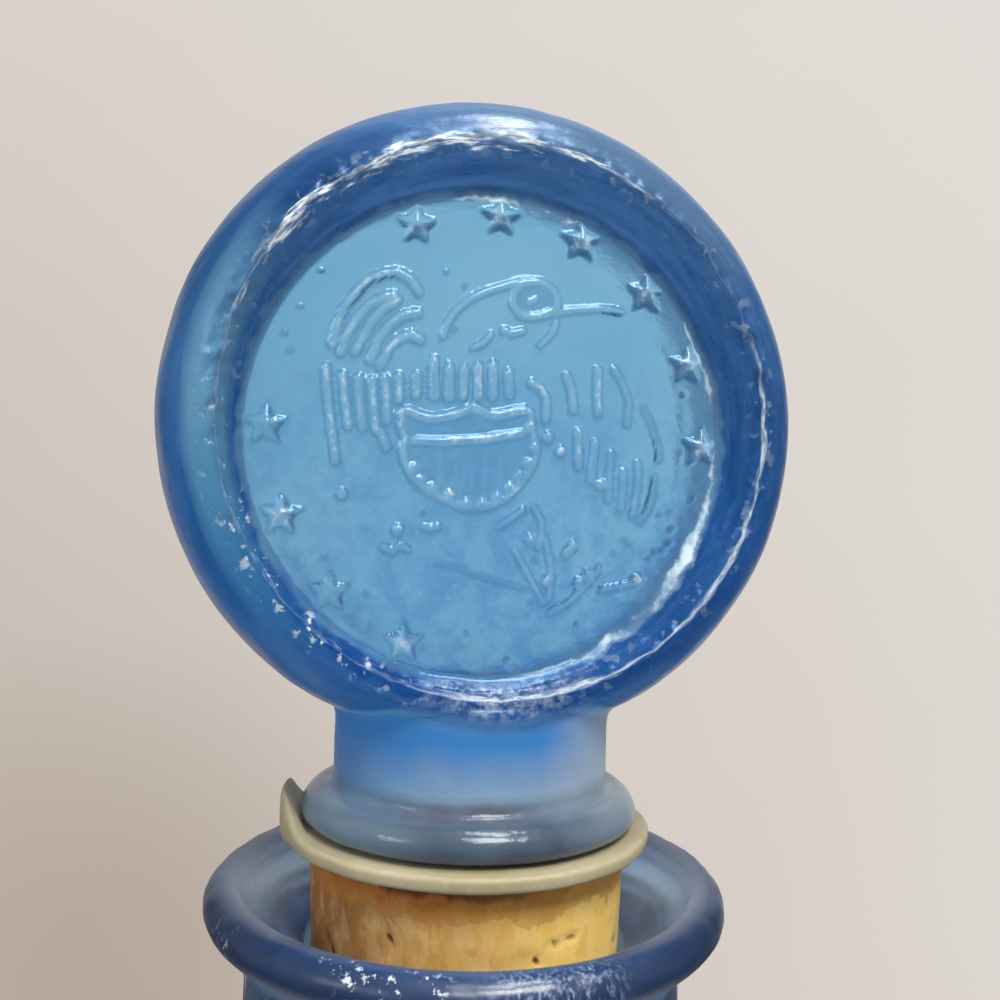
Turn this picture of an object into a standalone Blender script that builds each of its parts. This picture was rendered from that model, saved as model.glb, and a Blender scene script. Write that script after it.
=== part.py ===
"""Round whiskey decanter of blue tinted glass, closed by a medallion stopper on a cork.

Metres, +Z up. The decanter stands on Z = 0 with its axis on Z, and the stopper's medallion faces -Y.
The stopper is seated: its flange, washer and the top of its cork stand clear of the dished lip.
"""

import math

import bmesh
import bpy
from mathutils import Vector

# Fits between pieces
SEAT_GAP = 0.0003  # between two faces that rest on each other
CORK_CLEARANCE = 0.0003  # cork to the glass of the neck, all round
PEG_CLEARANCE = 0.0003  # peg to the cork and to the washer, all round

# Decanter body and base, outside
BODY_RADIUS = 0.0490
BODY_TOP = 0.1060  # where the straight side ends and the shoulder begins
HEEL_ROUND = 0.0090
HEEL_ROLL = 0.0070  # plain band between the heel and the label panel
SHOULDER_ROLL = 0.0080  # plain band between the label panel and the shoulder
PANEL_DEPTH = 0.0008
PANEL_SLOPE = 0.0035  # height of the slope into the label panel
FOOT_RING_WIDTH = 0.0050
PUNT_HEIGHT = 0.0055
SHOULDER_ROUND = 0.0260
NECK_SWEEP = 0.0240

# Neck and lip
NECK_RADIUS = 0.0171
LIP_RADIUS = 0.0204
LIP_ROLL = 0.0016  # radius of the rolled rim's section
LIP_HEIGHT = 0.2040  # centre of the rolled rim
LIP_SWEEP = 0.0030
DISH_SLOPE = math.radians(45.0)
DISH_FOOT_ROUND = 0.0010

# Decanter, inside
WALL = 0.0035
BASE_THICKNESS = 0.0060
BORE_LENGTH = 0.0150  # tapered bore for the cork, from the foot of the dish down

# Cork
CORK_RADIUS = 0.0125  # at the top
CORK_LENGTH = 0.0220
CORK_TAPER = math.radians(2.0)
CORK_BEVEL = 0.0008
CORK_STANDS_OUT = 0.0045  # top of the cork over the centre of the rolled rim

# Washer
WASHER_RADIUS = 0.0145
WASHER_THICKNESS = 0.0008
WASHER_EDGE = 0.0002

# Stopper: peg, flange and stem
PEG_RADIUS = 0.0055
PEG_LENGTH = 0.0160
PEG_BEVEL = 0.0006
FLANGE_RADIUS = 0.0133
FLANGE_HEIGHT = 0.0033
FLANGE_FOOT_ROUND = 0.0008
STEM_RADIUS = 0.0109
STEM_SWEEP = 0.0008  # small hollow curve between the flange and the stem
STEM_TOP_ROUND = 0.0030  # the stem's rounded top, which runs into the head

# Stopper: head
HEAD_CENTRE = 0.0326  # over the top of the cork
HEAD_RADIUS = 0.0252
HEAD_HALF_THICKNESS = 0.0104
CREST_RADIUS = 0.0193
FIELD_RADIUS = 0.0176
FIELD_DROP = 0.0016  # the sunk field sits this much low in the head
LAND_FALL = 0.0009  # from the crest in to the edge of the field
STEP_DEPTH = 0.0006
STEP_RUN = 0.0005
BACK_RADIUS = 0.0180
BACK_DISH = 0.0006

# Emblem in the field
STAR_RING_RADIUS = 0.0158
STAR_RADIUS = 0.0016
STAR_WAIST_SHARE = 0.45  # inner corners of a star, as a share of its radius
STAR_POINTS = 5
STAR_PLACES = 16
STARS_LEFT_OUT = (6, 7, 12, 13, 14, 15)  # places counted anticlockwise from +X
RELIEF_HEIGHT = 0.0004
RELIEF_ROOT = 0.0004  # how deep each raised piece is rooted in the glass
STAR_HEIGHT = 0.0006
STAR_EDGE_HEIGHT = 0.0002
SHIELD_HALF_WIDTH = 0.0047
SHIELD_HEIGHT = 0.0072
SHIELD_TOP = -0.0004  # over the centre of the head
SHIELD_TIP_SHARE = 0.35  # height of the pointed part, as a share of the shield
CHIEF_HEIGHT = 0.0016
GROOVE = 0.0005  # bare glass between neighbouring raised pieces
EMBLEM_SHIFT = -0.0018  # middle of the shield beside the middle of the head
WING_FEATHERS = (5, 7)  # on the left and on the right
WING_ROOT = 0.0062  # first feather's distance from the middle of the shield
WING_PITCH = 0.0013
FEATHER_WIDTH = 0.0008
FEATHER_LENGTH = 0.0088
FEATHER_SHORTEST_SHARE = 0.55
WING_TOP = 0.0042
WING_RISE = 0.0030  # how much higher the wing's middle feathers start
CHEST_FEATHERS = 5
CHEST_LENGTH = 0.0024
CREST_HEAD_RADIUS = 0.0020
CREST_HEAD_HEIGHT = 0.0085
CREST_HEAD_ACROSS = 0.0016
BEAK_LENGTH = 0.0018
TAIL_FEATHERS = 3
TAIL_LENGTH = 0.0048
TAIL_SPREAD = math.radians(20.0)

# Fineness of the round forms
AROUND = 48
ARC_STEPS = 5
BLEND_STEPS = 3
DOME_STEPS = 4
ROLL_STEPS = 8
FEATHER_END_STEPS = 3
HEAD_SIDE_STEPS = 6
SHARP_ANGLE = math.radians(35.0)
SWEEP_END = math.radians(250.0)  # where the hollow under the stem meets the flange
MERGE_DISTANCE = 0.000001  # joins the points that a spin leaves on the axis

# Where things come together
INNER_NECK = NECK_RADIUS - WALL
FOOT_OUTER = BODY_RADIUS - HEEL_ROUND
FOOT_INNER = FOOT_OUTER - FOOT_RING_WIDTH
ROLL_CENTRE_RADIUS = LIP_RADIUS - LIP_ROLL
STOPPER_SEAT = LIP_HEIGHT + CORK_STANDS_OUT
FLANGE_FOOT = SEAT_GAP + WASHER_THICKNESS + SEAT_GAP
FIELD_PLANE = HEAD_HALF_THICKNESS - LAND_FALL - STEP_DEPTH


def clear_scene():
    for leftover in list(bpy.data.objects):
        bpy.data.objects.remove(leftover)


def plain_material(name, colour, roughness, transmission):
    """Principled material of one colour."""
    made = bpy.data.materials.new(name)
    made.use_nodes = True
    shader = made.node_tree.nodes["Principled BSDF"]
    shader.inputs["Base Color"].default_value = (*colour, 1.0)
    shader.inputs["Roughness"].default_value = roughness
    shader.inputs["Metallic"].default_value = 0.0
    shader.inputs["Transmission Weight"].default_value = transmission
    return made


def face_ring(radius, depth, drop):
    """Points round the head's axis, which lies along Y, at this depth and this far below its centre."""
    turns = [2.0 * math.pi * i / AROUND for i in range(AROUND)]
    height = HEAD_CENTRE - drop
    return [Vector((radius * math.cos(a), depth, height + radius * math.sin(a))) for a in turns]


def skinned(name, rings, material):
    """Closed solid with a skin over the rings in their order and a flat face in the first and the last."""
    mesh = bmesh.new()
    loops = [[mesh.verts.new(point) for point in ring] for ring in rings]
    for low, high in zip(loops, loops[1:]):
        for i, corner in enumerate(low):
            j = (i + 1) % len(low)
            mesh.faces.new((corner, low[j], high[j], high[i]))
    mesh.faces.new(loops[0])
    mesh.faces.new(loops[-1])
    return finished(name, mesh, material)


def finished(name, mesh, material):
    """Object with this mesh, its faces turned outwards and its round forms shaded smooth."""
    bmesh.ops.recalc_face_normals(mesh, faces=mesh.faces)
    data = bpy.data.meshes.new(name)
    mesh.to_mesh(data)
    mesh.free()
    data.shade_smooth()
    data.set_sharp_from_angle(angle=SHARP_ANGLE)
    if material is not None:
        data.materials.append(material)
    made = bpy.data.objects.new(name, data)
    bpy.context.scene.collection.objects.link(made)
    return made


def turned(name, outline, material, closed=False):
    """Solid spun about the Z axis from (radius, height) points; closed joins the last point to the first."""
    mesh = bmesh.new()
    corners = [mesh.verts.new((radius, 0.0, height)) for radius, height in outline]
    pairs = list(zip(corners, corners[1:]))
    if closed:
        pairs.append((corners[-1], corners[0]))
    edges = [mesh.edges.new(pair) for pair in pairs]
    bmesh.ops.spin(
        mesh,
        geom=corners + edges,
        axis=(0.0, 0.0, 1.0),
        angle=2.0 * math.pi,
        steps=AROUND,
        use_merge=True,
    )
    bmesh.ops.remove_doubles(mesh, verts=mesh.verts, dist=MERGE_DISTANCE)
    return finished(name, mesh, material)


def joined_with(base, tool):
    """Adds the tool's solid to the base and hides the tool."""
    tool.hide_render = True
    tool.display_type = "WIRE"
    union = base.modifiers.new(tool.name, "BOOLEAN")
    union.operation = "UNION"
    union.solver = "EXACT"
    union.object = tool


def arc(centre, radius, start, end, steps=ARC_STEPS):
    """Points on a circle from one angle to another, both ends included."""
    turns = [start + (end - start) * i / steps for i in range(steps + 1)]
    return [(centre[0] + radius * math.cos(a), centre[1] + radius * math.sin(a)) for a in turns]


def slope(start, end, steps=BLEND_STEPS):
    """Points on a smooth S between two (radius, height) points, without its two ends."""
    points = []
    for i in range(1, steps):
        share = i / steps
        eased = (1.0 - math.cos(math.pi * share)) / 2.0
        points.append((start[0] + (end[0] - start[0]) * eased, start[1] + (end[1] - start[1]) * share))
    return points


def ogee(inner, outer, hollow, height):
    """How far a hollow curve and a round one, tangent to each other, rise between two radii.

    Gives the hollow curve's centre, the round curve's centre and the angle at which they meet."""
    round_radius, hollow_radius = outer[1], hollow
    reach = inner + hollow_radius - (outer[0] - round_radius)
    rise = math.sqrt((round_radius + hollow_radius) ** 2 - reach**2)
    round_centre = (outer[0] - round_radius, height)
    hollow_centre = (inner + hollow_radius, height + rise)
    return hollow_centre, round_centre, math.atan2(rise, reach)


def cork_radius_at(height):
    """Radius of the tapered cork at a height under its top."""
    return CORK_RADIUS + height * math.tan(CORK_TAPER)


def shoulder_curves(offset):
    """The shoulder and the sweep into the neck, from below, moved inwards by an offset."""
    hollow, dome, meet = ogee(NECK_RADIUS, (BODY_RADIUS, SHOULDER_ROUND), NECK_SWEEP, BODY_TOP)
    lower = arc(dome, SHOULDER_ROUND - offset, 0.0, meet)
    upper = arc(hollow, NECK_SWEEP + offset, meet + math.pi, math.pi)
    return lower + upper[1:]


def dish_outline():
    """From the tapered bore up over the dish and round the rolled rim to the neck outside."""
    across, up = math.cos(DISH_SLOPE), math.sin(DISH_SLOPE)
    roll = (ROLL_CENTRE_RADIUS, LIP_HEIGHT)
    bore = cork_radius_at(-CORK_STANDS_OUT) + CORK_CLEARANCE
    run = (roll[0] - (LIP_ROLL - DISH_FOOT_ROUND) * up - bore - DISH_FOOT_ROUND) / across
    foot_height = roll[1] + (LIP_ROLL - DISH_FOOT_ROUND) * across - run * up
    foot = (bore + DISH_FOOT_ROUND, foot_height)
    lean = math.pi / 2.0 + DISH_SLOPE
    points = arc(foot, DISH_FOOT_ROUND, math.pi, lean, BLEND_STEPS)
    reach = NECK_RADIUS + LIP_SWEEP - roll[0]
    fall = math.sqrt((LIP_SWEEP + LIP_ROLL) ** 2 - reach**2)
    sweep = (NECK_RADIUS + LIP_SWEEP, roll[1] - fall)
    meet = math.atan2(-fall, reach)
    points += arc(roll, LIP_ROLL, lean, meet, ROLL_STEPS)
    points += arc(sweep, LIP_SWEEP, meet + math.pi, math.pi, BLEND_STEPS)[1:]
    return points, foot_height


def panel_outline():
    """The outside from the shoulder down over the label panel to the heel and the foot ring."""
    panel = BODY_RADIUS - PANEL_DEPTH
    top = (BODY_RADIUS, BODY_TOP - SHOULDER_ROLL)
    top_inner = (panel, top[1] - PANEL_SLOPE)
    low = (BODY_RADIUS, HEEL_ROUND + HEEL_ROLL)
    low_inner = (panel, low[1] + PANEL_SLOPE)
    points = [top, *slope(top, top_inner), top_inner, low_inner, *slope(low_inner, low), low]
    return points + arc((FOOT_OUTER, HEEL_ROUND), HEEL_ROUND, 0.0, -math.pi / 2.0)


def dome(radius, edge_height, rise):
    """Points of a shallow dome from its edge to its middle."""
    points = []
    for i in range(1, DOME_STEPS + 1):
        share = 1.0 - i / DOME_STEPS
        points.append((radius * share, edge_height + rise * (1.0 - share**2)))
    return points


def decanter_outline():
    """Closed outline of the glass, from the middle of the floor inside to the middle of the base."""
    inner_heel = HEEL_ROUND - WALL
    floor_corner = (FOOT_OUTER, BASE_THICKNESS + inner_heel)
    floor = list(reversed(dome(FOOT_OUTER, BASE_THICKNESS, PUNT_HEIGHT)))
    inside = floor + arc(floor_corner, inner_heel, -math.pi / 2.0, 0.0)
    inside += shoulder_curves(WALL)
    rim, dish_foot = dish_outline()
    bore_bottom = dish_foot - BORE_LENGTH
    tapered = cork_radius_at(bore_bottom - STOPPER_SEAT) + CORK_CLEARANCE
    inside.append((INNER_NECK, bore_bottom - (INNER_NECK - tapered)))
    inside.append((tapered, bore_bottom))
    outside = list(reversed(shoulder_curves(0.0))) + panel_outline()
    return inside + rim + outside + [(FOOT_INNER, 0.0), *dome(FOOT_INNER, 0.0, PUNT_HEIGHT)]


def build_decanter(glass):
    return turned("decanter_glass", decanter_outline(), glass)


def build_cork(material):
    """Tapered sleeve with a blind hole for the stopper's peg."""
    hole = PEG_RADIUS + PEG_CLEARANCE
    floor = FLANGE_FOOT - PEG_LENGTH - SEAT_GAP
    bottom_radius = cork_radius_at(-CORK_LENGTH)
    outline = [
        (0.0, floor),
        (hole, floor),
        (hole, 0.0),
        (CORK_RADIUS, 0.0),
        (cork_radius_at(CORK_BEVEL - CORK_LENGTH), CORK_BEVEL - CORK_LENGTH),
        (bottom_radius - CORK_BEVEL, -CORK_LENGTH),
        (0.0, -CORK_LENGTH),
    ]
    return turned("stopper_cork", outline, material)


def build_washer(material):
    """Flat disc with a hole for the peg and softened outer edges."""
    hole = PEG_RADIUS + PEG_CLEARANCE
    low, high = SEAT_GAP, SEAT_GAP + WASHER_THICKNESS
    outline = [
        (hole, low),
        (hole, high),
        (WASHER_RADIUS - WASHER_EDGE, high),
        (WASHER_RADIUS, high - WASHER_EDGE),
        (WASHER_RADIUS, low + WASHER_EDGE),
        (WASHER_RADIUS - WASHER_EDGE, low),
    ]
    return turned("stopper_washer", outline, material, closed=True)


def stem_outline():
    """Stem, flange and peg from the top down, starting inside the head."""
    join = HEAD_CENTRE - math.sqrt(HEAD_RADIUS**2 - STEM_RADIUS**2)
    flange_top = FLANGE_FOOT + FLANGE_HEIGHT
    points = [(0.0, join + STEM_TOP_ROUND)]
    points += arc((STEM_RADIUS - STEM_TOP_ROUND, join), STEM_TOP_ROUND, math.pi / 2.0, 0.0)
    points += arc((STEM_RADIUS + STEM_SWEEP, flange_top), STEM_SWEEP, math.pi, SWEEP_END, BLEND_STEPS)
    start_radius, start_height = points[-1]
    reach = FLANGE_RADIUS - start_radius
    fall = start_height - FLANGE_FOOT - FLANGE_FOOT_ROUND
    for i in range(1, ARC_STEPS + 1):
        turn = math.pi / 2.0 * i / ARC_STEPS
        points.append((start_radius + reach * math.sin(turn), start_height - fall * (1.0 - math.cos(turn))))
    foot_centre = (FLANGE_RADIUS - FLANGE_FOOT_ROUND, FLANGE_FOOT + FLANGE_FOOT_ROUND)
    points += arc(foot_centre, FLANGE_FOOT_ROUND, 0.0, -math.pi / 2.0, BLEND_STEPS)[1:]
    peg_end = FLANGE_FOOT - PEG_LENGTH
    points += [
        (PEG_RADIUS, FLANGE_FOOT),
        (PEG_RADIUS, peg_end + PEG_BEVEL),
        (PEG_RADIUS - PEG_BEVEL, peg_end),
        (0.0, peg_end),
    ]
    return points


def head_rings():
    """Rings of the thick round head from the edge of its sunk field to the edge of its dished back."""
    rings = [face_ring(FIELD_RADIUS - STEP_RUN, -FIELD_PLANE, FIELD_DROP)]
    rings.append(face_ring(FIELD_RADIUS, LAND_FALL - HEAD_HALF_THICKNESS, FIELD_DROP))
    side = HEAD_RADIUS - CREST_RADIUS
    for i in range(2 * HEAD_SIDE_STEPS + 1):
        turn = math.pi / 2.0 * (i / HEAD_SIDE_STEPS - 1.0)
        radius = CREST_RADIUS + side * math.cos(turn)
        rings.append(face_ring(radius, HEAD_HALF_THICKNESS * math.sin(turn), 0.0))
    rings.append(face_ring(BACK_RADIUS, HEAD_HALF_THICKNESS - BACK_DISH, 0.0))
    return rings


def raised(mesh, outline, height):
    """Adds a low prism on the field to a mesh, from (across, up) points, and gives its front face."""
    root = RELIEF_ROOT - FIELD_PLANE
    foot = mesh.faces.new([mesh.verts.new((x, root, HEAD_CENTRE + z)) for x, z in outline])
    made = bmesh.ops.extrude_face_region(mesh, geom=[foot], use_keep_orig=True)["geom"]
    corners = [item for item in made if isinstance(item, bmesh.types.BMVert)]
    bmesh.ops.translate(mesh, verts=corners, vec=(0.0, -RELIEF_ROOT - height, 0.0))
    return next(item for item in made if isinstance(item, bmesh.types.BMFace))


def star(mesh, centre):
    """Star with one point up and a raised middle."""
    outline = []
    for i in range(2 * STAR_POINTS):
        reach = STAR_RADIUS if i % 2 == 0 else STAR_RADIUS * STAR_WAIST_SHARE
        turn = math.pi / 2.0 + math.pi * i / STAR_POINTS
        outline.append((centre[0] + reach * math.cos(turn), centre[1] + reach * math.sin(turn)))
    front = raised(mesh, outline, STAR_EDGE_HEIGHT)
    for tip in bmesh.ops.poke(mesh, faces=[front])["verts"]:
        tip.co.y = -FIELD_PLANE - STAR_HEIGHT


def feather(mesh, top, length, lean):
    """Long raised bar with a round lower end, hanging from its top at a lean from straight down."""
    along = (math.sin(lean), -math.cos(lean))
    across = (math.cos(lean), math.sin(lean))
    half = FEATHER_WIDTH / 2.0
    outline = [(-half, 0.0), (-half, length - half)]
    for i in range(1, FEATHER_END_STEPS):
        turn = math.pi * i / FEATHER_END_STEPS
        outline.append((-half * math.cos(turn), length - half + half * math.sin(turn)))
    outline += [(half, length - half), (half, 0.0)]
    placed = [
        (top[0] + across[0] * s + along[0] * t, top[1] + across[1] * s + along[1] * t) for s, t in outline
    ]
    raised(mesh, placed, RELIEF_HEIGHT)


def shield(mesh):
    """Plain shield in two raised pieces: the band along its top and the pointed field under it."""
    low = SHIELD_TOP - CHIEF_HEIGHT
    left, right = EMBLEM_SHIFT - SHIELD_HALF_WIDTH, EMBLEM_SHIFT + SHIELD_HALF_WIDTH
    raised(mesh, [(left, SHIELD_TOP), (right, SHIELD_TOP), (right, low), (left, low)], STAR_HEIGHT)
    top, tip = low - GROOVE, SHIELD_TOP - SHIELD_HEIGHT
    side = tip + SHIELD_HEIGHT * SHIELD_TIP_SHARE
    outline = [(left, top), (right, top)]
    for i in range(2 * BLEND_STEPS + 1):
        turn = math.pi * i / (2 * BLEND_STEPS)
        across = EMBLEM_SHIFT + SHIELD_HALF_WIDTH * math.cos(turn)
        outline.append((across, side - (side - tip) * math.sin(turn)))
    raised(mesh, outline, RELIEF_HEIGHT)


def wings(mesh):
    """Two spread wings of hanging feathers, longest in the middle of each wing."""
    for hand, count in zip((-1.0, 1.0), WING_FEATHERS):
        for i in range(count):
            swell = math.sin(math.pi * (i + 1) / (count + 1))
            length = FEATHER_LENGTH * (FEATHER_SHORTEST_SHARE + (1.0 - FEATHER_SHORTEST_SHARE) * swell)
            across = EMBLEM_SHIFT + hand * (WING_ROOT + WING_PITCH * i)
            feather(mesh, (across, WING_TOP + WING_RISE * swell), length, 0.0)


def breast_and_tail(mesh):
    """Short feathers over the shield and a fan of tail feathers under it."""
    for i in range(CHEST_FEATHERS):
        place = EMBLEM_SHIFT + (i - (CHEST_FEATHERS - 1) / 2.0) * WING_PITCH
        feather(mesh, (place, SHIELD_TOP + GROOVE + CHEST_LENGTH), CHEST_LENGTH, 0.0)
    for i in range(TAIL_FEATHERS):
        step = i - (TAIL_FEATHERS - 1) / 2.0
        root = (EMBLEM_SHIFT + WING_PITCH * step, SHIELD_TOP - SHIELD_HEIGHT - GROOVE)
        feather(mesh, root, TAIL_LENGTH, TAIL_SPREAD * step)


def bird_head(mesh):
    """Round head with a pointed beak to one side."""
    outline = []
    for i in range(1, 2 * ARC_STEPS):
        turn = math.pi * i / ARC_STEPS
        across = CREST_HEAD_ACROSS + CREST_HEAD_RADIUS * math.cos(turn)
        outline.append((across, CREST_HEAD_HEIGHT + CREST_HEAD_RADIUS * math.sin(turn)))
    outline.append((CREST_HEAD_ACROSS + CREST_HEAD_RADIUS + BEAK_LENGTH, CREST_HEAD_HEIGHT))
    raised(mesh, outline, RELIEF_HEIGHT)


def build_emblem():
    """All raised pieces of the field, kept clear of one another."""
    mesh = bmesh.new()
    for place in range(STAR_PLACES):
        if place in STARS_LEFT_OUT:
            continue
        turn = 2.0 * math.pi * place / STAR_PLACES
        star(mesh, (STAR_RING_RADIUS * math.cos(turn), STAR_RING_RADIUS * math.sin(turn) - FIELD_DROP))
    shield(mesh)
    wings(mesh)
    breast_and_tail(mesh)
    bird_head(mesh)
    return finished("emblem", mesh, None)


def build_stopper(glass):
    """Head, stem, flange and peg in one piece of glass."""
    head = skinned("stopper_glass", head_rings(), glass)
    stem = turned("stem", stem_outline(), None)
    emblem = build_emblem()
    joined_with(head, stem)
    joined_with(head, emblem)
    return head, [stem, emblem]


def main():
    clear_scene()
    blue_glass = plain_material("blue_glass", (0.16, 0.42, 0.68), 0.12, 1.0)
    natural_cork = plain_material("natural_cork", (0.60, 0.34, 0.12), 0.80, 0.0)
    pale_plastic = plain_material("pale_plastic", (0.46, 0.41, 0.25), 0.35, 0.0)
    build_decanter(blue_glass)
    seat = bpy.data.objects.new("stopper_seat", None)
    seat.location = (0.0, 0.0, STOPPER_SEAT)
    bpy.context.scene.collection.objects.link(seat)
    head, tools = build_stopper(blue_glass)
    for piece in (head, *tools, build_washer(pale_plastic), build_cork(natural_cork)):
        piece.parent = seat


main()
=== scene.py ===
"""Looks of the round whiskey decanter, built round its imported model.

Finer pieces of glass, cork and plastic stand in for the model's four nodes. Shapes are worked out in
millimetres, in the model's own frame, and scaled to metres when a mesh is made.
"""

import math
from functools import reduce

import bmesh
import bpy
import numpy as np
from mathutils import Matrix, Vector


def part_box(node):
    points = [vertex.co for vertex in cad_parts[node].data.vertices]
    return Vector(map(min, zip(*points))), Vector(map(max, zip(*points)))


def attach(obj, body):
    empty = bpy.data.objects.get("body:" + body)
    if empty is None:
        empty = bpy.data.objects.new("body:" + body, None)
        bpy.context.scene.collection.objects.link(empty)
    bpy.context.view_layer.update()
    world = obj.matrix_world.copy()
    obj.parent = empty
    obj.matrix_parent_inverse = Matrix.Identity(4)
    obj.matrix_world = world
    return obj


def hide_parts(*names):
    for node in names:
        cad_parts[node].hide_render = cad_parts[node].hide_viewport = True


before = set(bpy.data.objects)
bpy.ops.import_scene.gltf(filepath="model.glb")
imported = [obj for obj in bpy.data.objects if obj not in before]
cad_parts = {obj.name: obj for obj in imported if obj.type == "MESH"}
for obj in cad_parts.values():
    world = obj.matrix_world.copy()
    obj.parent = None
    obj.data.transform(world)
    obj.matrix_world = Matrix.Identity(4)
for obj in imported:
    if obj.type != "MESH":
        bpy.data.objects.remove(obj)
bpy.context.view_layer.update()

MM = 0.001

# Heights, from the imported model
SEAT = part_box("stopper_cork")[1].z / MM  # top of the cork
CORK_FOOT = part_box("stopper_cork")[0].z / MM
LIP_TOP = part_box("decanter_glass")[1].z / MM
LIP_ROLL = 1.6
LIP_HEIGHT = LIP_TOP - LIP_ROLL  # centre of the rolled rim

# Decanter
BODY_RADIUS = 49.0
BODY_TOP = 106.0
HEEL_ROUND = 9.0
HEEL_ROLL = 7.0
SHOULDER_ROLL = 8.0
PANEL_DEPTH = 0.8
PANEL_SLOPE = 3.5
FOOT_RING_WIDTH = 5.0
PUNT_HEIGHT = 5.5
SHOULDER_ROUND = 26.0
NECK_SWEEP = 24.0
NECK_RADIUS = 17.1
LIP_RADIUS = 20.4
LIP_SWEEP = 3.0
DISH_FOOT_ROUND = 1.0
WALL = 3.5
BASE_THICKNESS = 6.0
BORE_LENGTH = 15.0
SEAM_HEIGHT = 0.09
SEAM_HALF_WIDTH = 0.35
SEAM_TURNS = (-0.5, -0.25, 0.25, 0.5)  # extra points round the body at each seam, in degrees
SEAM_START = 3.0
SEAM_STOP = 4.0  # under the lip's rolled rim
MOULD_SHRINK = 0.12  # keeps the waves of the glass inside the model's box
FLAT_FOOT = 1.0  # the foot ring stays even up to here
EVEN_BORE = 25.0  # the bore stays even this far under the lip
BORE_MARGIN = 0.8
LIP_WORN_DEPTH = 2.5
LIP_WEAR = 0.05
LIP_RISE_SHARE = 0.6  # the lip's lumps go up by this share of how far they go out

# Cork and washer
CORK_RADIUS = 12.5
CORK_TAPER = math.radians(2.0)
CORK_BEVEL = 0.8
CORK_WORN_EDGE = 0.3
CORK_SIDE = 0.4  # what is this near the cork's side is pitted
CORK_SHRINK = 0.04
PIT_SHARE = 0.75
PEG_GLUE = 0.05  # room round the peg
CLEARANCE = 0.3
WASHER_RADIUS = 14.5
WASHER_THICKNESS = 1.1  # it lies on the cork, and the flange stands just over it
WASHER_ROUND = 0.35
WASHER_HOLE_GAP = 0.1
WASHER_SHRINK = 0.12
RAGGED_RADIUS = 9.0  # of the ring of noise that makes the rim ragged
RAGGED_START = 10.0
RAGGED_RUN = 4.0
FLAP_TURN = math.radians(-5.0)  # opposite to where the washer's edge stands up
FLAP_SPREAD = math.radians(17.0)
FLAP_HEIGHT = 2.3
FLAP_LEAN = 0.55
LIFT_START = 0.1  # the flap's lift and lean both start just outside the flange
LIFT_RUN = 0.4
LEAN_START = 0.2
LEAN_RUN = 0.6
CORK_PITS = (  # turn from the front in degrees, height under the top, half width, half height, slant, depth
    (-35.4, 4.3, 0.16, 0.50, 0.45, 0.5), (-66.2, 5.8, 0.22, 0.50, 0.2, 0.4), (-62.0, 6.6, 0.2, 0.3, 0.0, 0.4),
    (20.5, 4.6, 0.5, 0.28, 0.0, 0.25), (26.0, 4.4, 0.75, 0.2, 0.0, 0.35), (12.8, 5.5, 0.3, 0.28, 0.0, 0.4),
    (40.0, 2.9, 0.1, 0.55, -0.3, 0.2), (-20.7, 1.4, 0.7, 0.4, 0.0, 0.12), (-12.0, 1.2, 0.4, 0.35, 0.0, 0.12),
    (4.0, 1.2, 0.5, 0.2, 0.0, 0.1), (58.0, 6.8, 0.6, 0.3, 0.0, 0.35), (103.0, 4.4, 0.7, 0.4, 0.0, 0.4),
    (140.0, 6.6, 0.4, 0.8, 0.3, 0.5), (171.0, 5.0, 0.5, 0.4, 0.0, 0.4), (208.0, 7.4, 0.9, 0.4, 0.0, 0.4),
    (243.0, 4.6, 0.3, 0.6, -0.2, 0.4),
)

# Stopper
PEG_RADIUS = 5.5
PEG_LENGTH = 16.0
PEG_BEVEL = 0.6
PEG_MARGIN = 0.5  # what is further out than this from the peg's side is uneven
FLANGE_FOOT = 1.4  # over the cork's top
FLANGE_RADIUS = 13.3
FLANGE_HEIGHT = 3.3
FLANGE_FOOT_ROUND = 0.8
STEM_RADIUS = 10.9
STEM_SWEEP = 0.8
STEM_SWEEP_END = math.radians(250.0)
STEM_TOP_ROUND = 3.0
HEAD_CENTRE = 32.6
HEAD_MIDDLE = SEAT + HEAD_CENTRE
STEM_SHOWS = 22.4  # how far under the head's middle its dark rim gives way to the stem
HEAD_RADIUS = 25.2
HEAD_SHRINK = 0.14
JOIN_REACH = 15.0  # the stem joins the head further than this under the head's middle
JOIN_STEM_MARGIN = 1.6
JOIN_HEAD_MARGIN = 2.6
JOIN_ROUND = 0.5
JOIN_FACE_MARGIN = 0.8
JOIN_PASSES = 24
HEAD_HALF_THICKNESS = 10.4
CREST_RADIUS = 20.0
CREST_DROP = 0.5
CREST_SHIFT = -0.1
CREST_HALF_WIDTH = 0.7
CREST_LIFT = 0.05
FIELD_RADIUS = 18.4
FIELD_DROP = 1.8
FIELD_SHIFT = -0.9
LAND_FALL = 0.9
LAND_MARGIN = 0.7
LAND_BLEND = 1.5
STEP_DEPTH = 0.6
STEP_RUN = 1.1
BACK_RADIUS = 18.0
BACK_DISH = 0.6
FIELD_PLANE = HEAD_HALF_THICKNESS - LAND_FALL - STEP_DEPTH

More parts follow.
